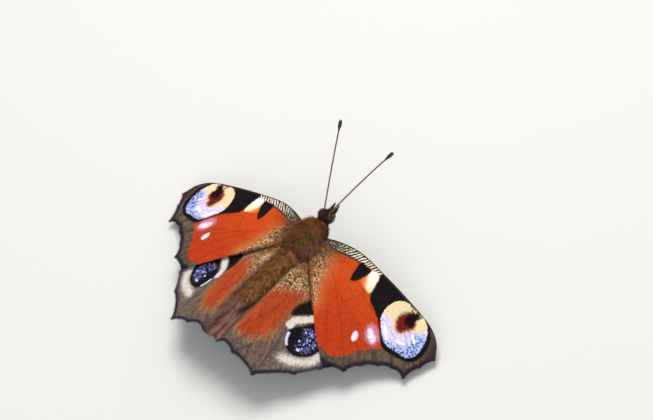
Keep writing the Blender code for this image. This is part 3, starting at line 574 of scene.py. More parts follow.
def tufts(roots, lie, up, length, width, rise, droop, rings, centres):
    """Tapered three-sided hairs. With t from 0 to 1 along a hair of length L, its middle line is
    root + L (lie t + up (rise t - droop t^2)), and its half width is width (1 - t)^0.75. Each has a
    small patch of bake map round its centre."""
    count = len(roots)
    side = unit(np.cross(lie, up))
    t = np.arange(rings) / rings
    climb = up[:, None] * (rise[:, None] * t - droop * t**2)[..., None]
    line = roots[:, None] + length[:, None, None] * (lie[:, None] * t[:, None] + climb)
    half = (width[:, None] * (1 - t) ** HAIR_TAPER)[..., None]
    deep = HAIR_DEPTH * up
    turned = [c * side + s * deep for c, s in HAIR_SECTION]
    corners = np.stack([line + half * way[:, None] for way in turned], 2)
    tips = roots + length[:, None] * (lie + up * (rise - droop)[:, None])
    points = np.concatenate([corners.reshape(count, -1, 3), tips[:, None]], 1)
    each = 3 * rings + 1
    quads = [(3 * r + c, 3 * r + 3 + c, 3 * r + 3 + (c + 1) % 3, 3 * r + (c + 1) % 3)
             for r in range(rings - 1) for c in range(3)]
    last = each - 4
    triangles = [(last + c, last + 3, last + (c + 1) % 3) for c in range(3)] + [(0, 1, 2)]
    base = (np.arange(count) * each)[:, None, None]
    faces = [(base + np.array(kind)).reshape(-1, len(kind[0])) for kind in (quads, triangles)]
    along = np.append(np.repeat(t, 3), 1.0)
    patch = np.stack([np.append(np.tile([c for c, _ in HAIR_SECTION], rings), 0.0), 2 * along - 1], 1)
    maps = (centres[:, None] + HAIR_PATCH * patch).reshape(-1, 2)
    return points.reshape(-1, 3), faces, np.tile(along, count), maps


def scatter(rng, grid, count, weight=1.0):
    """Random places on a grid of points, each in a cell picked by its area and weight. Returns the
    places, the unit directions along rows and columns, and the places as shares of the grid."""
    a, b, c, d = grid[:-1, :-1], grid[1:, :-1], grid[1:, 1:], grid[:-1, 1:]
    area = np.linalg.norm(np.cross(c - a, d - b), axis=2) * weight
    pick = rng.choice(area.size, count, p=area.ravel() / area.sum())
    i, j = np.unravel_index(pick, area.shape)
    u, v = rng.random((2, count, 1))
    a, b, c, d = a[i, j], b[i, j], c[i, j], d[i, j]
    places = a * (1 - u) * (1 - v) + b * u * (1 - v) + c * u * v + d * (1 - u) * v
    shares = np.stack([(i + u[:, 0]) / area.shape[0], (j + v[:, 0]) / area.shape[1]], 1)
    return places, unit(b + c - a - d), unit(d + c - a - b), shares


def in_map(shares):
    """Shares of a grid as places in the bake map, with room for the hairs' patches at its edges."""
    return MAP_ROOM + (1 - 2 * MAP_ROOM) * shares


def drawn(rng, count, *ranges):
    """This many random numbers in each range in turn."""
    return [rng.uniform(low, high, count) for low, high in ranges]


def coat(name, look, slot, rng, places, lie, up, sizes, droop, shares, values=None, rings=3):
    """A piece of many hairs, each with one tone and the values at its root. Sizes are their lengths,
    half widths and rises."""
    points, faces, along, maps = tufts(places, lie, up, *sizes, droop, rings, in_map(shares))
    points[:, 2] = np.maximum(points[:, 2], FLOOR_ROOM)
    own = {"tone": rng.random(len(places)), "root": places, **(values or {})}
    own = {key: np.repeat(value, 3 * rings + 1, axis=0) for key, value in own.items()}
    own["along"] = along
    return new_piece(name, points, faces, look, own, maps)


def closed(rings):
    """Rings of points with their first column again at the end."""
    return np.concatenate([rings, rings[:, :1]], 1)


# Materials: colours are sockets, or red, green and blue from 0 to 255. A layer is its share of the
# colour, its own colour and how much of the share counts.
def shown(colour):
    """A colour given as 0 to 255 as the linear one that shaders take. A socket stays as it is."""
    if isinstance(colour, bpy.types.NodeSocket):
        return colour
    share = np.array(colour) / 255
    linear = np.where(share <= 0.04045, share / 12.92, ((share + 0.055) / 1.055) ** 2.4)
    return (*map(float, linear), 1.0)


class Finish:
    """A material, and short ways to add its nodes: numbers are set on sockets, and sockets are linked."""

    def __init__(self, name, roughness):
        self.material = bpy.data.materials.new(name)
        self.material.use_nodes = True
        self.tree = self.material.node_tree
        self.shader = self.tree.nodes["Principled BSDF"]
        self.shader.inputs["Roughness"].default_value = roughness
        self.place = self.tree.nodes.new("ShaderNodeTexCoord").outputs["Object"]

    def feed(self, socket, value):
        """A value set on a socket, or another socket linked to it."""
        if isinstance(value, bpy.types.NodeSocket):
            self.tree.links.new(value, socket)
        else:
            socket.default_value = value

    def node(self, kind, inputs, output=0, **settings):
        """One output of a new node."""
        made = self.tree.nodes.new(kind)
        for key, value in settings.items():
            setattr(made, key, value)
        for key, value in inputs.items():
            self.feed(made.inputs[key], value)
        return made.outputs[output]

    def math(self, operation, *values):
        """The outcome of an operation on one to three values."""
        return self.node("ShaderNodeMath", dict(enumerate(values)), operation=operation)

    def times(self, first, second):
        """The product of two values."""
        return self.math("MULTIPLY", first, second)

    def sum(self, value, factor, added):
        """The value times the factor, and something added."""
        return self.math("MULTIPLY_ADD", value, factor, added)

    def value(self, name, output="Fac"):
        """A value that the mesh holds for each point, or 0 where it has none of that name."""
        return self.node("ShaderNodeAttribute", {}, output, attribute_name=name)

    def parts(self, vector):
        """The three parts of a vector."""
        return [self.node("ShaderNodeSeparateXYZ", {0: vector}, axis) for axis in range(3)]

    def lay(self, share, under, over, amount=1.0):
        """The colour over, laid on the colour under by this share of this amount."""
        if amount != 1.0:
            share = self.times(share, amount)
        return self.node("ShaderNodeMix", {0: share, 6: shown(under), 7: shown(over)}, 2, data_type="RGBA")

    def layers(self, colour, *layers):
        """The colour with each of the layers laid on it in turn."""
        for share, over, *amount in layers:
            colour = self.lay(share, colour, over, *amount)
        return colour

    def step(self, value, low, high):
        """0 where the value is below low and 1 above high, or the reverse where low is the higher."""
        return self.node("ShaderNodeMapRange", {0: value, 1: low, 2: high}, interpolation_type="SMOOTHSTEP")

    def fade(self, value, low, high, first, second):
        """From the first colour to the second as the value goes from low to high."""
        return self.lay(self.step(value, low, high), first, second)

    def stretch(self, vector, factors):
        """A vector with each part times its factor."""
        return self.node("ShaderNodeVectorMath", {0: vector, 1: factors}, operation="MULTIPLY")

    def texture(self, kind, per_mm, where, output, **inputs):
        """A texture with this many features a millimetre, in space or on given coordinates."""
        inputs = {"Vector": where or self.place, "Scale": per_mm if where else per_mm / MM, **inputs}
        return self.node(kind, inputs, output)

    def noise(self, per_mm, detail=2.0, where=None):
        """Noise from 0 to 1."""
        return self.texture("ShaderNodeTexNoise", per_mm, where, 0, Detail=detail)

    def cells(self, per_mm, where=None):
        """The distance to the nearest of scattered cells' middles."""
        return self.texture("ShaderNodeTexVoronoi", per_mm, where, "Distance")

    def scales(self, per_mm):
        """A value from 0 to 1 that is the same all over each cell, as one wing scale's shade is."""
        colour = self.texture("ShaderNodeTexVoronoi", per_mm, None, "Color")
        return self.node("ShaderNodeSeparateColor", {0: colour}, 0)

    def bump(self, height, depth, strength=1.0):
        """Relief of this many millimetres from heights of 0 to 1."""
        inputs = {"Height": height, "Distance": depth * MM, "Strength": strength}
        self.feed(self.shader.inputs["Normal"], self.node("ShaderNodeBump", inputs))

    def done(self, colour, gloss=0.5, coat=0.0):
        """The finished material, in this colour."""
        self.feed(self.shader.inputs["Base Color"], colour)
        self.shader.inputs["Specular IOR Level"].default_value = gloss
        self.shader.inputs["Coat Weight"].default_value = coat
        return self.material


class WingFinish(Finish):
    """Wing scales: the values and colours that both pairs' markings are made of."""

    def __init__(self, name, vein_reach, rib_width):
        super().__init__(name, 0.8)
        self.flow = self.value("flow", "Vector")
        self.grain = self.noise(3.4, 3.0)
        self.shade, self.small = self.scales(4.5), self.scales(7.0)
        self.pale_scales = self.step(self.shade, 0.5, 0.9)
        self.near_vein = self.step(self.value("vein"), vein_reach, 0.03)
        self.ribs = self.noise(1.0, 2.0, self.stretch(self.flow, (0.3, rib_width, 1.0)))
        self.rim = self.sum(self.grain, 0.4, self.value("rim"))

    def patch(self, name, soft, ragged, grain=None):
        """1 in a marking and 0 outside. Its edge is this soft, and the grain breaks it up this far."""
        depth = self.sum(grain or self.grain, 2 * ragged, self.value(name))
        return self.step(depth, ragged - soft, ragged + soft)

    def speckle(self):
        """Golden-brown ground with cream and dark single scales, as round the wing roots."""
        shade, small = self.scales(5.8), self.scales(8.5)
        return self.layers(
            self.fade(self.grain, 0.35, 0.65, (134, 80, 46), (178, 114, 64)),
            (self.step(small, 0.6, 0.7), (196, 152, 100), 0.5),
            (self.step(shade, 0.64, 0.7), (58, 40, 34), 0.9),
            (self.step(shade, 0.26, 0.2), (226, 202, 160), 0.9))

    def hair(self):
        """Hair on the wing roots: each hair has its own tone, and so has each clump."""
        clump = self.step(self.noise(3.6, 2.0, self.value("root", "Vector")), 0.35, 0.65)
        tone = self.sum(self.value("tone"), 0.6, self.times(clump, 0.4))
        hair = self.fade(tone, 0.1, 0.6, (76, 48, 30), (176, 110, 58))
        return self.fade(tone, 0.7, 0.95, hair, (220, 188, 142))

    def closed(self, colour):
        """The upper side's colour, a near-black lower side with fine wavy lines, and rows of scales:
        small cells, longer along the wing than across it."""
        waves = self.noise(1.0, 3.0, self.stretch(self.flow, (4.5, 0.8, 1.0)))
        lower = self.layers(
            self.fade(waves, 0.42, 0.6, (24, 18, 17), (62, 47, 38)),
            (self.step(self.noise(0.16), 0.45, 0.65), (88, 68, 52), 0.5),
            (self.grain, (16, 13, 14), 0.3))
        rows = self.cells(1.0, self.stretch(self.flow, (5.0, 8.0, 1.0)))
        self.bump(self.sum(self.grain, 0.8, self.math("SUBTRACT", 1.0, rows)), 0.03, 0.8)
        return self.done(self.fade(self.value("upper"), 0.4, 0.6, lower, colour), gloss=0.12)


def forewing_finish():
    """Red with a speckled root, a grey-brown margin, a striped front edge, an eyespot and white spots."""
    f = WingFinish("forewing scales", 0.3, 2.4)
    grain, plan = f.grain, f.value("plan", "Vector")
    streak = f.noise(1.0, 3.0, f.stretch(f.flow, (0.45, 4.0, 1.0)))
    out, along, _ = f.parts(plan)
    black = f.fade(grain, 0.4, 0.7, (9, 6, 8), (30, 18, 20))
    white = f.fade(grain, 0.35, 0.6, (224, 196, 232), (255, 250, 255))
    red = f.layers(
        f.fade(along, 0.0, 12.0, (212, 74, 12), (188, 50, 8)),
        (f.step(streak, 0.4, 0.64), (164, 38, 8), 0.45),
        (f.shade, (250, 130, 60), 0.16),
        (f.small, (120, 28, 8), 0.18),
        (f.near_vein, (110, 28, 10), 0.22),
        (f.step(f.sum(streak, 2.0, f.value("basal")), -1.8, 1.6), (192, 104, 50)))
    margin = f.layers(
        f.fade(f.ribs, 0.25, 0.75, (66, 52, 44), (104, 86, 68)),
        (f.pale_scales, (146, 124, 98), 0.25),
        (f.near_vein, (54, 40, 38), 0.5),
        (f.step(f.rim, 0.9, 0.4), (46, 34, 48)),
        (f.patch("apex", 1.2, 0.5), (58, 38, 40)))

    waves = {"Scale": 1.12, "Distortion": 4.0, "Detail": 2.0, "Detail Scale": 1.0}
    first, second = (
        f.node("ShaderNodeTexWave", {"Vector": f.stretch(plan, (1.0, slant, 1.0)), **waves}, "Fac",
               bands_direction="DIAGONAL") for slant in (0.6, -0.9))
    crossed = f.math("MINIMUM", first, f.sum(f.step(out, 3.5, 8.5), 0.5, second))
    light = f.fade(grain, 0.3, 0.6, (222, 200, 158), (255, 246, 222))
    stripes = f.layers(
        f.fade(crossed, 0.42, 0.58, (14, 9, 10), light),
        (f.step(f.value("front"), 0.24, 0.12), (16, 10, 12)))
    rear = f.step(f.math("SUBTRACT", f.sum(along, 0.6, 13.6), out), 1.3, 2.5)
    cream = f.layers(f.fade(along, 0.6, 2.2, (255, 249, 236), (253, 232, 190)), (rear, (226, 118, 46)))

    blue = f.patch("blue", 0.7, 0.8, f.noise(1.3, 3.0))
    lilac = f.layers(
        f.fade(grain, 0.35, 0.62, (204, 184, 236), (242, 232, 252)),
        (blue, (168, 200, 252), 0.8),
        (blue, (116, 128, 214), f.step(f.shade, 0.68, 0.72)),
        (blue, (62, 48, 100), f.step(f.shade, 0.18, 0.14)))
    eyespot = f.layers(
        f.fade(grain, 0.3, 0.6, (232, 200, 142), (244, 222, 182)),
        (f.patch("eyespot_top", 0.15, 0.5), (110, 74, 66)),
        (f.patch("lilac", 0.25, 0.6), lilac),
        (f.patch("glint", 0.14, 0.2), (250, 246, 255)),
        (f.patch("eyespot_vein", 0.1, 0.1), (60, 40, 70), 0.6),
        (f.patch("far_cream", 0.15, 0.3), (252, 222, 170)),
        (f.patch("maroon", 0.35, 0.8), f.fade(grain, 0.4, 0.65, (84, 8, 10), (142, 28, 22))),
        (f.patch("pupil", 0.25, 0.5), (14, 6, 10)),
        (f.patch("pupil_ray", 0.1, 0.15), (20, 10, 14)))

    front = f.patch("tiger", 0.6, 0.3)
    grey = f.lay(f.value("tone"), (96, 76, 70), (214, 192, 176))
    return f.closed(f.layers(
        red,
        (f.patch("basal", 1.0, 1.6), f.speckle()),
        (f.patch("margin", 0.16, 0.3), margin),
        (f.patch("ring", 0.14, 0.2), black),
        (f.patch("costal_edge", 0.12, 0.15), (56, 40, 54)),
        (f.patch("tiger", 0.12, 0.15), stripes),
        (f.patch("costal_line", 0.12, 0.1), (44, 42, 60)),
        (f.patch("triangle", 0.12, 0.2), black),
        (f.patch("cream", 0.2, 0.25), cream),
        (f.patch("eyespot", 0.1, 0.18), eyespot),
        (f.patch("spot_haze", 0.45, 0.6), (226, 160, 190), 0.6),
        (f.patch("first_spot", 0.25, 0.4), white),
        (f.patch("second_spot", 0.18, 0.2), white),
        (f.value("hair"), f.lay(front, f.hair(), grey, 0.7), f.sum(front, -0.65, 0.9))))


def hindwing_finish():
    """Grey-brown with a red field, a speckled root, pale rings round a blue eyespot, and the fold."""
    f = WingFinish("hindwing scales", 0.28, 2.6)
    grain = f.grain
    streak = f.noise(1.0, 2.0, f.stretch(f.flow, (0.25, 1.7, 1.0)))
    black = f.fade(grain, 0.42, 0.7, (10, 7, 10), (36, 24, 26))
    white = f.fade(grain, 0.35, 0.62, (214, 203, 194), (232, 224, 216))
    warm = f.layers(
        f.fade(streak, 0.35, 0.66, (128, 74, 44), (174, 110, 66)),
        (f.pale_scales, (206, 160, 112), 0.35))
    red = f.layers(
        f.fade(streak, 0.35, 0.68, (152, 50, 20), (186, 66, 26)),
        (f.shade, (236, 120, 60), 0.2),
        (f.small, (116, 40, 20), 0.2),
        (f.near_vein, (112, 40, 20), 0.25))
    blue = f.layers(
        f.fade(f.shade, 0.46, 0.56, (14, 11, 24), (86, 88, 156)),
        (f.step(f.shade, 0.84, 0.88), (178, 180, 236)))
    fold = f.layers(
        f.fade(streak, 0.34, 0.66, (72, 47, 44), (130, 92, 76)),
        (f.step(f.small, 0.55, 0.95), (164, 126, 100), 0.3))
    return f.closed(f.layers(
        f.fade(f.ribs, 0.25, 0.75, (72, 56, 50), (118, 98, 84)),
        (f.pale_scales, (170, 148, 128), 0.3),
        (f.near_vein, (70, 52, 48), 0.5),
        (f.patch("costal", 1.0, 1.0), (82, 64, 56), 0.7),
        (f.patch("warm", 0.9, 1.0, streak), warm),
        (f.step(f.rim, 0.85, 0.35), (50, 38, 58)),
        (f.patch("red", 0.6, 1.1, streak), red),
        (f.patch("basal", 1.2, 1.6), f.speckle()),
        (f.patch("costal_patch", 0.3, 0.5), black),
        (f.patch("upper_ring", 0.22, 0.35), white),
        (f.patch("lower_ring", 1.4, 0.4), white, 0.35),
        (f.patch("lower_ring", 0.45, 0.6), white, 0.85),
        (f.patch("disc", 0.16, 0.25), black),
        (f.patch("crescent", 0.3, 0.6), blue),
        *((f.patch(name, 0.12, 0.15), (226, 224, 252)) for name in ("dots", "middle_dot", "lunule")),
        (f.patch("fold", 0.35, 0.4, streak), fold),
        (f.value("hair"), f.hair(), 0.9)))


def body_finish():
    """Skin and fur of the body, coloured by where each hair is rooted, and darkened with painted shade low on
    the front of the thorax's sides.
    """
    f = Finish("body fur", 0.8)
    root, own = f.value("root", "Vector"), f.value("tone")
    across, aft, up = f.parts(root)
    beside = f.math("ABSOLUTE", across)
    clump = f.step(f.noise(1.0, 2.0, f.stretch(root, (2.2, 1.2, 2.2))), 0.36, 0.64)
    broad = f.step(f.noise(0.6, 2.0, root), 0.4, 0.6)
    tone = f.sum(own, 0.45, f.times(clump, 0.55))
    fur = {part: f.lay(tone, *pair) for part, pair in FUR_COLOURS.items()}
    turn = f.times(f.math("SUBTRACT", aft, ABDOMEN_START), 2 * math.pi / SEGMENT_STEP)
    abdomen = f.layers(
        fur["abdomen"],
        (f.step(own, 0.8, 0.86), (228, 190, 134), 0.6),
        (f.step(f.math("COSINE", turn), -0.3, -0.95), (52, 28, 16), 0.5))
    middle = f.times(f.step(aft, -0.8, 1.0), f.step(beside, 2.2, 0.7))
    shoulder = f.times(f.step(beside, 1.3, 2.0), f.step(aft, 0.2, 1.2))
    # Painted shade: low on the thorax's front, reaching higher further out to the sides, the fur takes on
    # most of the head's dark colour.
    chest = f.times(f.step(f.sum(beside, -0.5, up), 10.6, 9.6), f.step(aft, 1.2, 0.0))
    colour = f.layers(
        fur["thorax"],
        (middle, fur["olive"], f.sum(broad, 0.6, 0.25)),
        (shoulder, fur["violet"], 0.6),
        (f.step(aft, 5.2, 6.6), abdomen),
        (f.step(aft, 18.0, 19.2), fur["tip"]),
        (f.step(f.sum(up, 0.5, aft), 4.1, 3.4), fur["head"]),
        (f.step(aft, -1.6, -2.1), fur["head"]),
        # painted shade on the lower front of the thorax's sides
        (chest, fur["head"], 0.9),
        (f.step(up, 9.3, 8.3), fur["lower"]))
    skin = f.lay(0.45, colour, (24, 16, 12))
    f.bump(f.noise(12.0), 0.05, 0.6)
    return f.done(f.fade(f.value("along"), 0.0, 0.55, skin, colour), gloss=0.2)


def eye_finish():
    """Dark brown under fine facets."""
    f = Finish("compound eye", 0.3)
    f.bump(f.math("SUBTRACT", 1.0, f.cells(14.0)), 0.02, 0.6)
    return f.done(f.lay(f.noise(1.6), (22, 12, 14), (74, 42, 38)), coat=0.15)


def feeler_finish():
    """Ringed black and golden-brown; the club is black with a pale end."""
    f = Finish("feeler", 0.5)
    along = f.value("along")
    shaft = f.fade(f.value("ring"), 0.55, 0.8, (40, 24, 18), (150, 104, 60))
    club = f.fade(f.noise(9.0), 0.4, 0.65, (16, 12, 12), (44, 34, 30))
    f.bump(f.noise(14.0), 0.02, 0.6)
    return f.done(f.layers(
        shaft, (f.step(along, 0.85, 0.87), club), (f.step(along, 0.985, 0.995), (206, 166, 112))))


def tongue_finish():
    """Horny brown."""
    f = Finish("tongue", 0.35)
    f.bump(f.noise(12.0), 0.015, 0.5)
    return f.done(f.fade(f.noise(5.0, 3.0), 0.35, 0.65, (40, 26, 20), (92, 62, 42)))


def leg_finish():
    """Dark brown scales, with single paler hairs."""
    f = Finish("leg scales", 0.7)
    grain = f.noise(10.0)
    f.bump(grain, 0.03, 0.7)
    brown = f.fade(grain, 0.35, 0.65, (40, 28, 24), (98, 74, 56))
    return f.done(f.lay(f.value("tone"), brown, (140, 110, 82), 0.35), gloss=0.25)


FINISHES = {
    "forewing": forewing_finish(), "hindwing": hindwing_finish(), "body": body_finish(),
    "eye": eye_finish(), "feeler": feeler_finish(), "leg": leg_finish(), "tongue": tongue_finish(),
}


# Wings
def coons(front, outer, rear, root, shape):
    """Plan points of a grid spread between four edges. Front and rear run outwards, and root and outer
    aft. A point is both pairs' blends added together, less the blend of the four corners."""
    rows, columns = shape
    u, v = np.linspace(0, 1, rows)[:, None, None], np.linspace(0, 1, columns)[None, :, None]
    front, rear = spread(front, rows)[:, None], spread(rear, rows)[:, None]
    root, outer = spread(root, columns)[None], spread(outer, columns)[None]
    corners = (1 - v) * ((1 - u) * front[0] + u * front[-1]) + v * ((1 - u) * rear[0] + u * rear[-1])
    return (1 - v) * front + v * rear + (1 - u) * root + u * outer - corners


def forewing_edges():
    """The front, outer, rear and root edge: curves through the tables' points."""
    front = spline([FORE_TUCK[0], *FORE_COSTA], CURVE_STEP)
    outer = hollowed_edge([FORE_COSTA[-1], *FORE_ENDS.values(), FORE_REAR[-1]], FORE_HOLLOWS)
    return front, outer, spline([FORE_TUCK[1], *FORE_REAR], CURVE_STEP), np.array(FORE_TUCK)


def hindwing_edges(degrees):
    """The same edges. The inner margin runs in the flank of the body, as far out as its girth there,
    then closes on the middle plane under its end."""
    front = swept(spline([HIND_TUCK[0], *HIND_COSTA], CURVE_STEP), degrees)
    ends = swept([HIND_COSTA[-1], *HIND_ENDS.values()], degrees)
    aft = np.arange(HIND_TUCK[1][1], ANAL_CORNER[1], CURVE_STEP)
    past = ease((aft - INNER_TURN[0]) / INNER_TURN[1])
    across = np.maximum((body_girth(aft)[0] - INNER_TUCK) * (1 - past), ANAL_CORNER[0])
    inner = np.vstack([np.stack([across, aft], 1), ANAL_CORNER])
    outer = np.vstack([hollowed_edge(ends, HIND_HOLLOWS), ANAL_CORNER])
    return front, outer, inner, np.array([front[0], inner[0]])


class Wing:
    """One wing's plan, surface and markings, for its membrane and for the hairs that grow on it."""

    def __init__(self, kind, name):
        self.kind, self.title, self.side, self.shape = kind, f"{kind}_{name}", SIDES[name], GRIDS[kind]
        if kind == "forewing":
            self.degrees, self.surface, self.edges = 0.0, forewing_up, forewing_edges()
            self.patches, self.stripes, lines = FORE_PATCHES, FORE_STRIPES, (FORE_STEMS, FORE_VEINS)
        else:
            self.degrees, self.surface = HIND_SWEEP[name], hindwing_up
            self.edges = hindwing_edges(self.degrees)
            self.patches, self.stripes, lines = HIND_PATCHES, HIND_STRIPES, (HIND_STEMS, HIND_VEINS)
        self.plan = coons(*self.edges, self.shape)
        self.veins = [swept(line, self.degrees) for line in vein_lines(*lines)]

    def at(self, plan, up):
        """Plan points or directions in space, on the wing's own side."""
        return np.column_stack([self.side * plan[:, 0], plan[:, 1], np.full(len(plan), up)])

    def middle(self, plan):
        """Height of the smooth surface that the sheets lie on."""
        return self.surface(*plan.T) + OFFSETS[self.kind]

    def sheets(self, plan):
        """Heights of the upper and lower sheet, which sag between the veins, are thin at the rim and
        rise in a bell curve over each vein, and that rise, which the lower sheet is still without."""
        near_vein = distance_to_lines(plan, self.veins)
        near_rim = distance_to_lines(plan, list(self.edges[:3]))
        thin = ease(near_rim / RIM_WIDTH)
        sag = PLEAT * (1 - np.exp(-((near_vein / PLEAT_WIDTH) ** 2))) * ease(near_rim / PLEAT_START)
        half = MEMBRANE_HALF * (RIM_SHARE + (1 - RIM_SHARE) * thin)
        relief = VEIN_RELIEF * np.exp(-((near_vein / VEIN_WIDTH) ** 2)) * thin
        middle = self.middle(plan) - sag
        return middle + half + relief, middle - half, relief

    def marks(self, plan, shares):
        """The shader's values over plan points, which are also given as shares of the grid: how deep
        each lies in each marking, and how far off the edges and veins."""
        own = swept(plan, -self.degrees)
        found = {name: depth_in(own, corners) for name, corners in self.patches.items()}
        found.update({name: depth_along(own, *stripe) for name, stripe in self.stripes.items()})
        lines = {"rim": [self.edges[1]], "front": [self.edges[0]], "vein": self.veins}
        found.update({name: distance_to_lines(plan, line) for name, line in lines.items()})
        found["flow"] = np.column_stack([shares * FLOW_SIZE, 0 * own[:, 0]])
        found["plan"] = np.column_stack([own, 0 * own[:, 0]])
        return found

    def membrane(self):
        """Top and bottom sheets on one grid, joined round the rim."""
        plan, count, (rows, columns) = self.plan.reshape(-1, 2), self.plan[..., 0].size, self.shape
        u, v = np.meshgrid(np.linspace(0, 1, rows), np.linspace(0, 1, columns), indexing="ij")
        shares = np.stack([u.ravel(), v.ravel()], 1)
        top, bottom, relief = self.sheets(plan)
        points = np.vstack([self.at(plan, top), self.at(plan, bottom - LOWER_RELIEF * relief)])
        index = np.arange(count).reshape(rows, columns)
        corners = (index[:-1, :-1], index[1:, :-1], index[1:, 1:], index[:-1, 1:])
        quads = np.stack(corners, -1).reshape(-1, 4)
        loop = np.concatenate([index[:-1, 0], index[-1, :-1], index[:0:-1, -1], index[0, :0:-1]])
        after = np.roll(loop, -1)
        top_map = MAP_ROOM + shares * (1 - 2 * MAP_ROOM, 0.5 - 2 * MAP_ROOM)
        low_map = top_map + (0.0, 0.5)
        beyond = top_map + unit(top_map - (0.5, 0.25)) * RIM_MAP
        faces = [quads, quads[:, ::-1] + count, np.stack([loop, loop + count, after + count, after], 1)]
        maps = [top_map[quads], low_map[quads[:, ::-1]],
                np.stack([top_map[loop], beyond[loop], beyond[after], top_map[after]], 1)]
        if self.side < 0:
            faces, maps = ([block[:, ::-1] for block in blocks] for blocks in (faces, maps))
        values = {key: np.concatenate([value, value]) for key, value in self.marks(plan, shares).items()}
        values["upper"] = np.repeat([1.0, 0.0], count)
        maps = np.vstack([block.reshape(-1, 2) for block in maps])
        piece = new_piece(self.title + "_membrane", points, faces, self.kind, values, maps)
        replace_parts(piece, self.title)

    def hair(self, rng):
        """Hairs on the base, both sides: long by the body and shorter outwards, lying out and aft."""
        reach, rows, columns = HAIR_REACH[self.kind], *self.shape
        shares = rng.random((WING_HAIRS, 2)) ** ROOT_CROWDING * (reach, 1.0)
        row, column = (shares * (rows - 1, columns - 1)).astype(int).T
        here = self.plan[row, column]
        outwards = unit(self.plan[np.minimum(row + ROWS_AHEAD, rows - 1), column] - here)
        upper = rng.random(WING_HAIRS) < UPPER_SHARE
        top, bottom, _ = self.sheets(here)
        turned = outwards + HAIR_TURN[self.kind] + rng.normal(0, WING_SPREAD, here.shape)
        lie = unit(self.at(turned, -WING_FALL))
        fade = 1 - shares[:, 0] / reach
        longs = np.outer(LENGTHS_VARY, WING_LONG[0] + WING_LONG[1] * fade**LONG_POWER)
        wides = np.outer(WIDTHS_VARY, WING_WIDE[0] + WING_WIDE[1] * fade)
        sizes = drawn(rng, WING_HAIRS, longs, wides, WING_RISES)
        values = {**self.marks(here, shares), "upper": upper.astype(float), "hair": ease(fade * HAIR_TINT)}
        places, up = self.at(here, np.where(upper, top, bottom)), np.outer(2.0 * upper - 1, (0, 0, 1))
        coat(self.title + "_hair", self.kind, "wing", rng, places, lie, up, sizes, WING_DROOP, shares, values)

    def edge_hairs(self, part, line, sense, length, fall, hair, shares, rng):
        """Hairs along an edge, pointing away from the wing in its plane and falling by a share of their
        length. Sense is 1 where the wing lies on the right of the edge's run and -1 on the left."""
        count, run = len(line), unit(np.gradient(line, axis=0))
        away = sense * np.column_stack([run[:, 1], -run[:, 0]]) + rng.normal(0, HAIR_SPREAD, line.shape)
        lie = unit(self.at(away, -fall))
        places = self.at(line, self.middle(line) + rng.normal(0, EDGE_JITTER, count)) - lie * EDGE_ROOT
        values = {**self.marks(line, shares), "upper": np.ones(count), "hair": hair}
        sizes = [length, *drawn(rng, count, EDGE_WIDTHS), np.zeros(count)]
        up = np.tile((0.0, 0.0, 1.0), (count, 1))
        coat(f"{self.title}_{part}", self.kind, "wing", rng, places, lie, up, sizes, 0.0, shares, values, 2)

    def fringe(self, rng):
        """Short hair scales along the whole outer margin."""
        along, line = np.linspace(0, 1, FRINGE_HAIRS), spread(self.edges[1], FRINGE_HAIRS)
        length = rng.uniform(*FRINGE_LENGTHS, FRINGE_HAIRS)
        shares = np.column_stack([EDGE_PLACE + 0 * along, along])
        self.edge_hairs("fringe", line, 1, length, FRINGE_FALL, np.zeros(FRINGE_HAIRS), shares, rng)

    def trim(self, rng):
        """Longer hairs along the rear margin, over the step to the hindwing, shorter away from the body."""
        along = np.linspace(0, TRIM_REACH, TRIM_HAIRS)
        line = spread(self.edges[2], round(TRIM_HAIRS / TRIM_REACH))[:TRIM_HAIRS]
        fade = 1 - along / TRIM_REACH
        length = (TRIM_LONG[0] + TRIM_LONG[1] * fade) * rng.uniform(*WIDTHS_VARY, TRIM_HAIRS)
        shares = np.column_stack([along, EDGE_PLACE + 0 * along])
        self.edge_hairs("trim", line, -1, length, TRIM_FALL, ease(TRIM_TINT * fade), shares, rng)


# Body pieces
def body_skin(grid):
    """The skin on the body's rings, whose ends bulge a little. In its bake map a face lies at its share
    of the rings, and each end's fan beyond the first or last ring."""
    rows, columns = grid.shape[0], grid.shape[1] - 1
    points, faces = ring_tube(grid[:, :-1])
    points[-2:] += ((0, -SKIN_ENDS, 0), (0, SKIN_ENDS, 0))
    i, j = np.divmod(np.arange((rows - 1) * columns), columns)
    shares = np.stack([np.stack([(i + a) / (rows - 1), (j + b) / columns], 1)
                       for a, b in ((0, 0), (0, 1), (1, 1), (1, 0))], 1)
    around = (np.arange(columns)[:, None] + (0.5, 1, 0)) / columns
    fans = [np.stack([np.tile(along, (columns, 1)), turned], -1)
            for along, turned in (((0.0, 0.01, 0.01), around), ((1.0, 0.99, 0.99), around[:, (0, 2, 1)]))]
    maps = np.vstack([in_map(shares).reshape(-1, 2), (0.005 + 0.99 * np.concatenate(fans)).reshape(-1, 2)])
    piece = new_piece("body_skin", points, faces, "body", {"root": points}, maps)
    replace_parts(piece, "thorax", "abdomen", "head")


def body_fur(grid, rng):
    """Hairs on the body between two stations and two heights, lying aft. Lean adds a share of outwards
    and of forwards to their lie."""
    middle = (grid[:-1, :-1] + grid[1:, 1:]) / 2
    for part, (first, last, count, length, widths, rises, lean, heights) in FUR.items():
        keep = (middle[..., 1] > first) & (middle[..., 1] < last)
        keep &= (middle[..., 2] > heights[0]) & (middle[..., 2] < heights[1])
        places, aft, around, shares = scatter(rng, grid, count, keep)
        up = unit(np.cross(around, aft))
        side = np.sign(places[:, :1]) * (1.0, 0.0, 0.0)
        lie = unit(aft * (1 - lean[1]) + around * rng.normal(0, FUR_TURN, (count, 1)) + lean[0] * side)
        sizes = drawn(rng, count, np.multiply(FUR_LENGTHS, length), widths, rises)
        places -= up * FUR_ROOT
        coat("fur_" + part, "body", "body_fur", rng, places, lie, up, sizes, FUR_DROOP, shares)


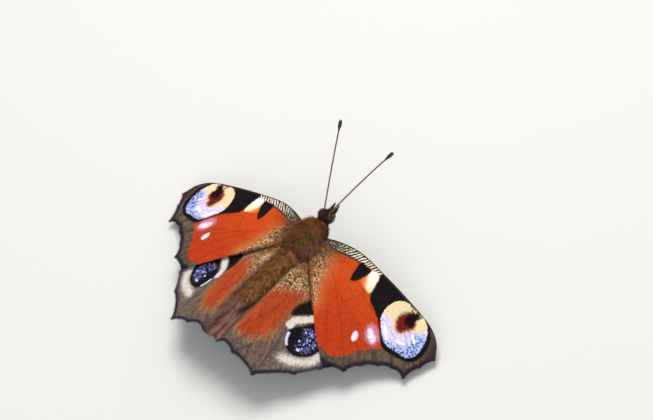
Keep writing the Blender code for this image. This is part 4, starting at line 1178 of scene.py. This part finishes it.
def haired_tube(skin, hair, nodes, line, radii, look, slot, rng, kind):
    """A tube on rings round a line, with hairs of this kind that lie along it and stand off its middle."""
    count, turn, droop, rings, *ranges = HAIRS[kind]
    tube = tube_rings(line, radii, TUBE_SIDES)
    points, faces = ring_tube(tube)
    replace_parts(new_piece(skin, points, faces, look, {"root": points}), *nodes)
    places, ahead, _, shares = scatter(rng, closed(tube), count)
    last = len(line) - 1
    out = unit(places - line[np.clip((shares[:, 0] * last).astype(int), 0, last)])
    lie = unit(ahead + rng.normal(0, turn, ahead.shape))
    coat(hair, look, slot, rng, places, lie, out, drawn(rng, count, *ranges), droop, shares, rings=rings)


def add_eyes(rng):
    """Upright ellipsoids: their half sizes times (sin t cos a, sin t sin a, -cos t), and short hairs."""
    turn = np.linspace(EYE_POLE, math.pi - EYE_POLE, EYE_RINGS[0])[:, None]
    angle = np.linspace(0, 2 * math.pi, EYE_RINGS[1], endpoint=False)
    count, spread_by, droop, steps, *ranges = HAIRS["eye"]
    round_it = [np.sin(turn) * np.cos(angle), np.sin(turn) * np.sin(angle)]
    ball = np.stack([*round_it, -np.cos(turn) + 0 * angle], -1)
    for name, side in SIDES.items():
        centre = np.array(EYE) * (side, 1, 1)
        rings = centre + ball * EYE_HALF
        points, faces = ring_tube(rings)
        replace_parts(new_piece("eye_ball_" + name, points, faces, "eye"), "eye_" + name)
        places, _, _, shares = scatter(rng, closed(rings), count)
        out = unit(places - centre)
        lie = unit(out * EYE_HAIR_OUT + EYE_HAIR_PULL + rng.normal(0, spread_by, out.shape))
        places -= out * EYE_HAIR_ROOT
        sizes = drawn(rng, count, *ranges)
        coat("eye_hair_" + name, "body", "head", rng, places, lie, out, sizes, droop, shares, rings=steps)


def add_antennae():
    """Straight lines with a little rise in the middle: thin, ringed shafts with a bulb at the root and
    a club at the end, which rounds off as a circle does."""
    t = np.linspace(0, 1, ANTENNA_STATIONS)
    line = arched(ANTENNA_ROOT, ANTENNA_TIP, ANTENNA_BOW, t)
    length = float(np.linalg.norm(line[-1] - line[0]))
    along = t * length
    ring = 0.5 + 0.5 * np.cos(2 * math.pi * along / ANTENNA_RING)
    swell = ease((along - length + ANTENNA_CLUB) / (CLUB_SWELL * ANTENNA_CLUB))
    end = CLUB_BLUNT + (1 - CLUB_BLUNT) * np.sqrt(np.clip((length - along) / CLUB_END, 0, 1))
    radii = (ANTENNA_RADII[0] + (ANTENNA_RADII[1] - ANTENNA_RADII[0]) * swell) * (1 - RING_DEPTH * ring)
    radii = np.maximum(radii * end, THINNEST) * (1 + BULB * np.exp(-((along / BULB_REACH) ** 2)))
    values = {"along": t, "ring": ring}
    values = {key: np.append(np.repeat(value, THIN_SIDES), (0.0, 1.0)) for key, value in values.items()}
    for name, side in SIDES.items():
        points, faces = ring_tube(tube_rings(line * (side, 1, 1), radii, THIN_SIDES))
        piece = new_piece("feeler_" + name, points, faces, "feeler", values)
        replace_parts(piece, "antenna_" + name)


def add_proboscis():
    """A watch-spring coil in the middle plane: its radius falls evenly with the angle turned."""
    turn = np.linspace(0, 2 * math.pi * TONGUE_TURNS, TONGUE_POINTS)
    radius = np.interp(turn, (0, turn[-1]), TONGUE_COIL)
    angle = math.radians(TONGUE_START) - turn
    coil = TONGUE_CENTRE + radius[:, None] * np.stack([np.cos(angle), np.sin(angle)], 1)
    line = np.vstack([TONGUE_ROOT, np.column_stack([0 * turn, coil])])
    station = np.arange(len(line))
    radii = np.interp(station, (0, station[-1]), TONGUE_RADII)
    radii = radii * (1 + TONGUE_RIBS * np.cos(station * TONGUE_RIB_TURN))
    points, faces = ring_tube(tube_rings(line, radii, THIN_SIDES))
    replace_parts(new_piece("tongue_coil", points, faces, "tongue"), "proboscis")


def add_palps(rng):
    """Short spindles that sag a little and end in a point, under long hair."""
    t = np.linspace(0, 1, PALP_POINTS)
    line, radii = arched(PALP_ROOT, PALP_TIP, -PALP_SAG, t), np.interp(t, PALP_STATIONS, PALP_RADII)
    for name, side in SIDES.items():
        haired_tube("palp_skin_" + name, "palp_hair_" + name, ["palp_" + name], line * (side, 1, 1), radii,
                    "body", "head", rng, "palp")


# Legs
def leg_line(joints):
    """A line through the joints that stays straight between them and turns tightly at each."""
    places = [joints[0]]
    for a, b, c in zip(joints, joints[1:], joints[2:]):
        places += [b + (a - b) * KNEE_TURN, b, b + (c - b) * KNEE_TURN]
    return spline([*places, joints[-1]], LEG_STEP)


def leg_radii(along, marks):
    """Radius along a leg: each length swells between its joints, and the foot is ringed in five."""
    femur, tibia, foot = (np.clip((along - a) / (b - a), 0, 1) for a, b in zip(marks, marks[1:]))
    femur = FEMUR_RADIUS + FEMUR_SWELL * np.sin(math.pi * np.minimum(femur + FEMUR_LEAD, 1)) ** FEMUR_ROUND
    tibia = TIBIA_RADIUS + TIBIA_SWELL * tibia - KNEE_PINCH * (1 - tibia) ** KNEE_POWER
    foot = FOOT_RADIUS + TOE_SWELL * np.abs(np.sin(TOES * math.pi * foot)) ** TOE_ROUND
    return np.where(along > marks[2], foot, np.where(along < marks[1], femur, tibia))


def add_legs(rng):
    """Each leg is one tube through its joints. Walking legs have claws; forelegs are brushes."""
    for name, side in SIDES.items():
        for kind, joints in LEGS.items():
            places = np.array(joints) * (side, 1, 1)
            line = leg_line(places)
            along = run_along(line)
            marks = [along[np.linalg.norm(line - place, axis=1).argmin()] for place in places]
            walking = kind != "foreleg"
            if walking:
                radii = leg_radii(along, marks)
                nodes = [f"{kind}_{part}_{name}" for part in ("femur", "tibia", "tarsus")]
            else:
                radii, nodes = np.interp(along, marks, FORELEG_RADII), ["foreleg_" + name]
            haired_tube(f"{kind}_limb_{name}", f"{kind}_hair_{name}", nodes, line, radii, "leg", "leg", rng,
                        "leg" if walking else kind)
            if walking:
                add_claws(f"{kind}_claws_{name}", line)


def add_claws(name, line):
    """Two claws at the end of a foot, which spread evenly, rise and then bend down as a parabola."""
    flat = unit(unit(line[-1] - line[-FOOT_END]) * (1, 1, 0))
    aside, up = np.array([-flat[1], flat[0], 0.0]), np.array([0, 0, 1])
    t = np.linspace(0, 1, CLAW_POINTS)[:, None]
    radii = CLAW_RADII[0] * (1 - t[:, 0]) ** CLAW_TAPER + CLAW_RADII[1]
    points, faces = [], []
    for sign in (1, -1):
        path = line[-1] + flat * CLAW_LENGTH * t + aside * sign * (CLAW_GAP[0] + CLAW_GAP[1] * t)
        path = path + up * (CLAW_RISE * t - CLAW_BEND * t**2)
        made, blocks = ring_tube(tube_rings(path, radii, CLAW_SIDES))
        faces += [block + len(made) * len(points) for block in blocks]
        points.append(made)
    new_piece(name, np.vstack(points), faces, "eye")


# Stage
def add_holder(name, data):
    """An object of the scene that shows this data."""
    holder = bpy.data.objects.new(name, data)
    bpy.context.scene.collection.objects.link(holder)
    return holder


def add_stage():
    """A plain floor, two round lights that face the animal, and a pale sky."""
    mesh = bpy.data.meshes.new("floor")
    corners = [(x * FLOOR_REACH, y * FLOOR_REACH, 0) for x, y in ((-1, -1), (1, -1), (1, 1), (-1, 1))]
    mesh.from_pydata(corners, [], [(0, 1, 2, 3)])
    plain = Finish("floor", 0.9)
    mesh.materials.append(plain.done(plain.lay(plain.noise(0.004), (224, 222, 218), (230, 228, 225))))
    add_holder("floor", mesh)
    for name, (place, size, power, colour) in LIGHTS.items():
        lamp = bpy.data.lights.new(name, "AREA")
        lamp.shape = "DISK"
        lamp.size, lamp.energy, lamp.color = size, power, colour
        holder = add_holder(name, lamp)
        holder.location = place
        holder.rotation_mode = "QUATERNION"
        holder.rotation_quaternion = Vector(np.array(place) - AIM).to_track_quat("Z", "Y")
    sky = bpy.data.worlds.new("studio")
    bpy.context.scene.world = sky
    sky.use_nodes = True
    back = sky.node_tree.nodes["Background"]
    back.inputs["Color"].default_value = SKY
    back.inputs["Strength"].default_value = SKY_STRENGTH
    bpy.context.scene.view_settings.view_transform = "Standard"


def add_camera():
    """The photo's camera: columns of its turn are its right, its up and the way back from what it sees."""
    lens = bpy.data.cameras.new("camera")
    lens.lens, lens.sensor_width = CAMERA_LENS, CAMERA_SENSOR
    lens.clip_start, lens.clip_end = CAMERA_CLIP
    camera = add_holder("camera", lens)
    place = Matrix(CAMERA_TURN).transposed().to_4x4()
    place.translation = CAMERA_PLACE
    camera.matrix_world = place
    bpy.context.scene.camera = camera


def main():
    """All pieces, in the order in which they draw their random numbers."""
    rng = np.random.default_rng(SEED)
    for kind in GRIDS:
        for name in SIDES:
            wing = Wing(kind, name)
            wing.membrane()
            wing.hair(rng)
            wing.fringe(rng)
            if kind == "forewing":
                wing.trim(rng)
    grid = body_grid()
    body_skin(grid)
    body_fur(grid, rng)
    add_eyes(rng)
    add_antennae()
    add_proboscis()
    add_palps(rng)
    add_legs(rng)
    add_stage()
    add_camera()


main()
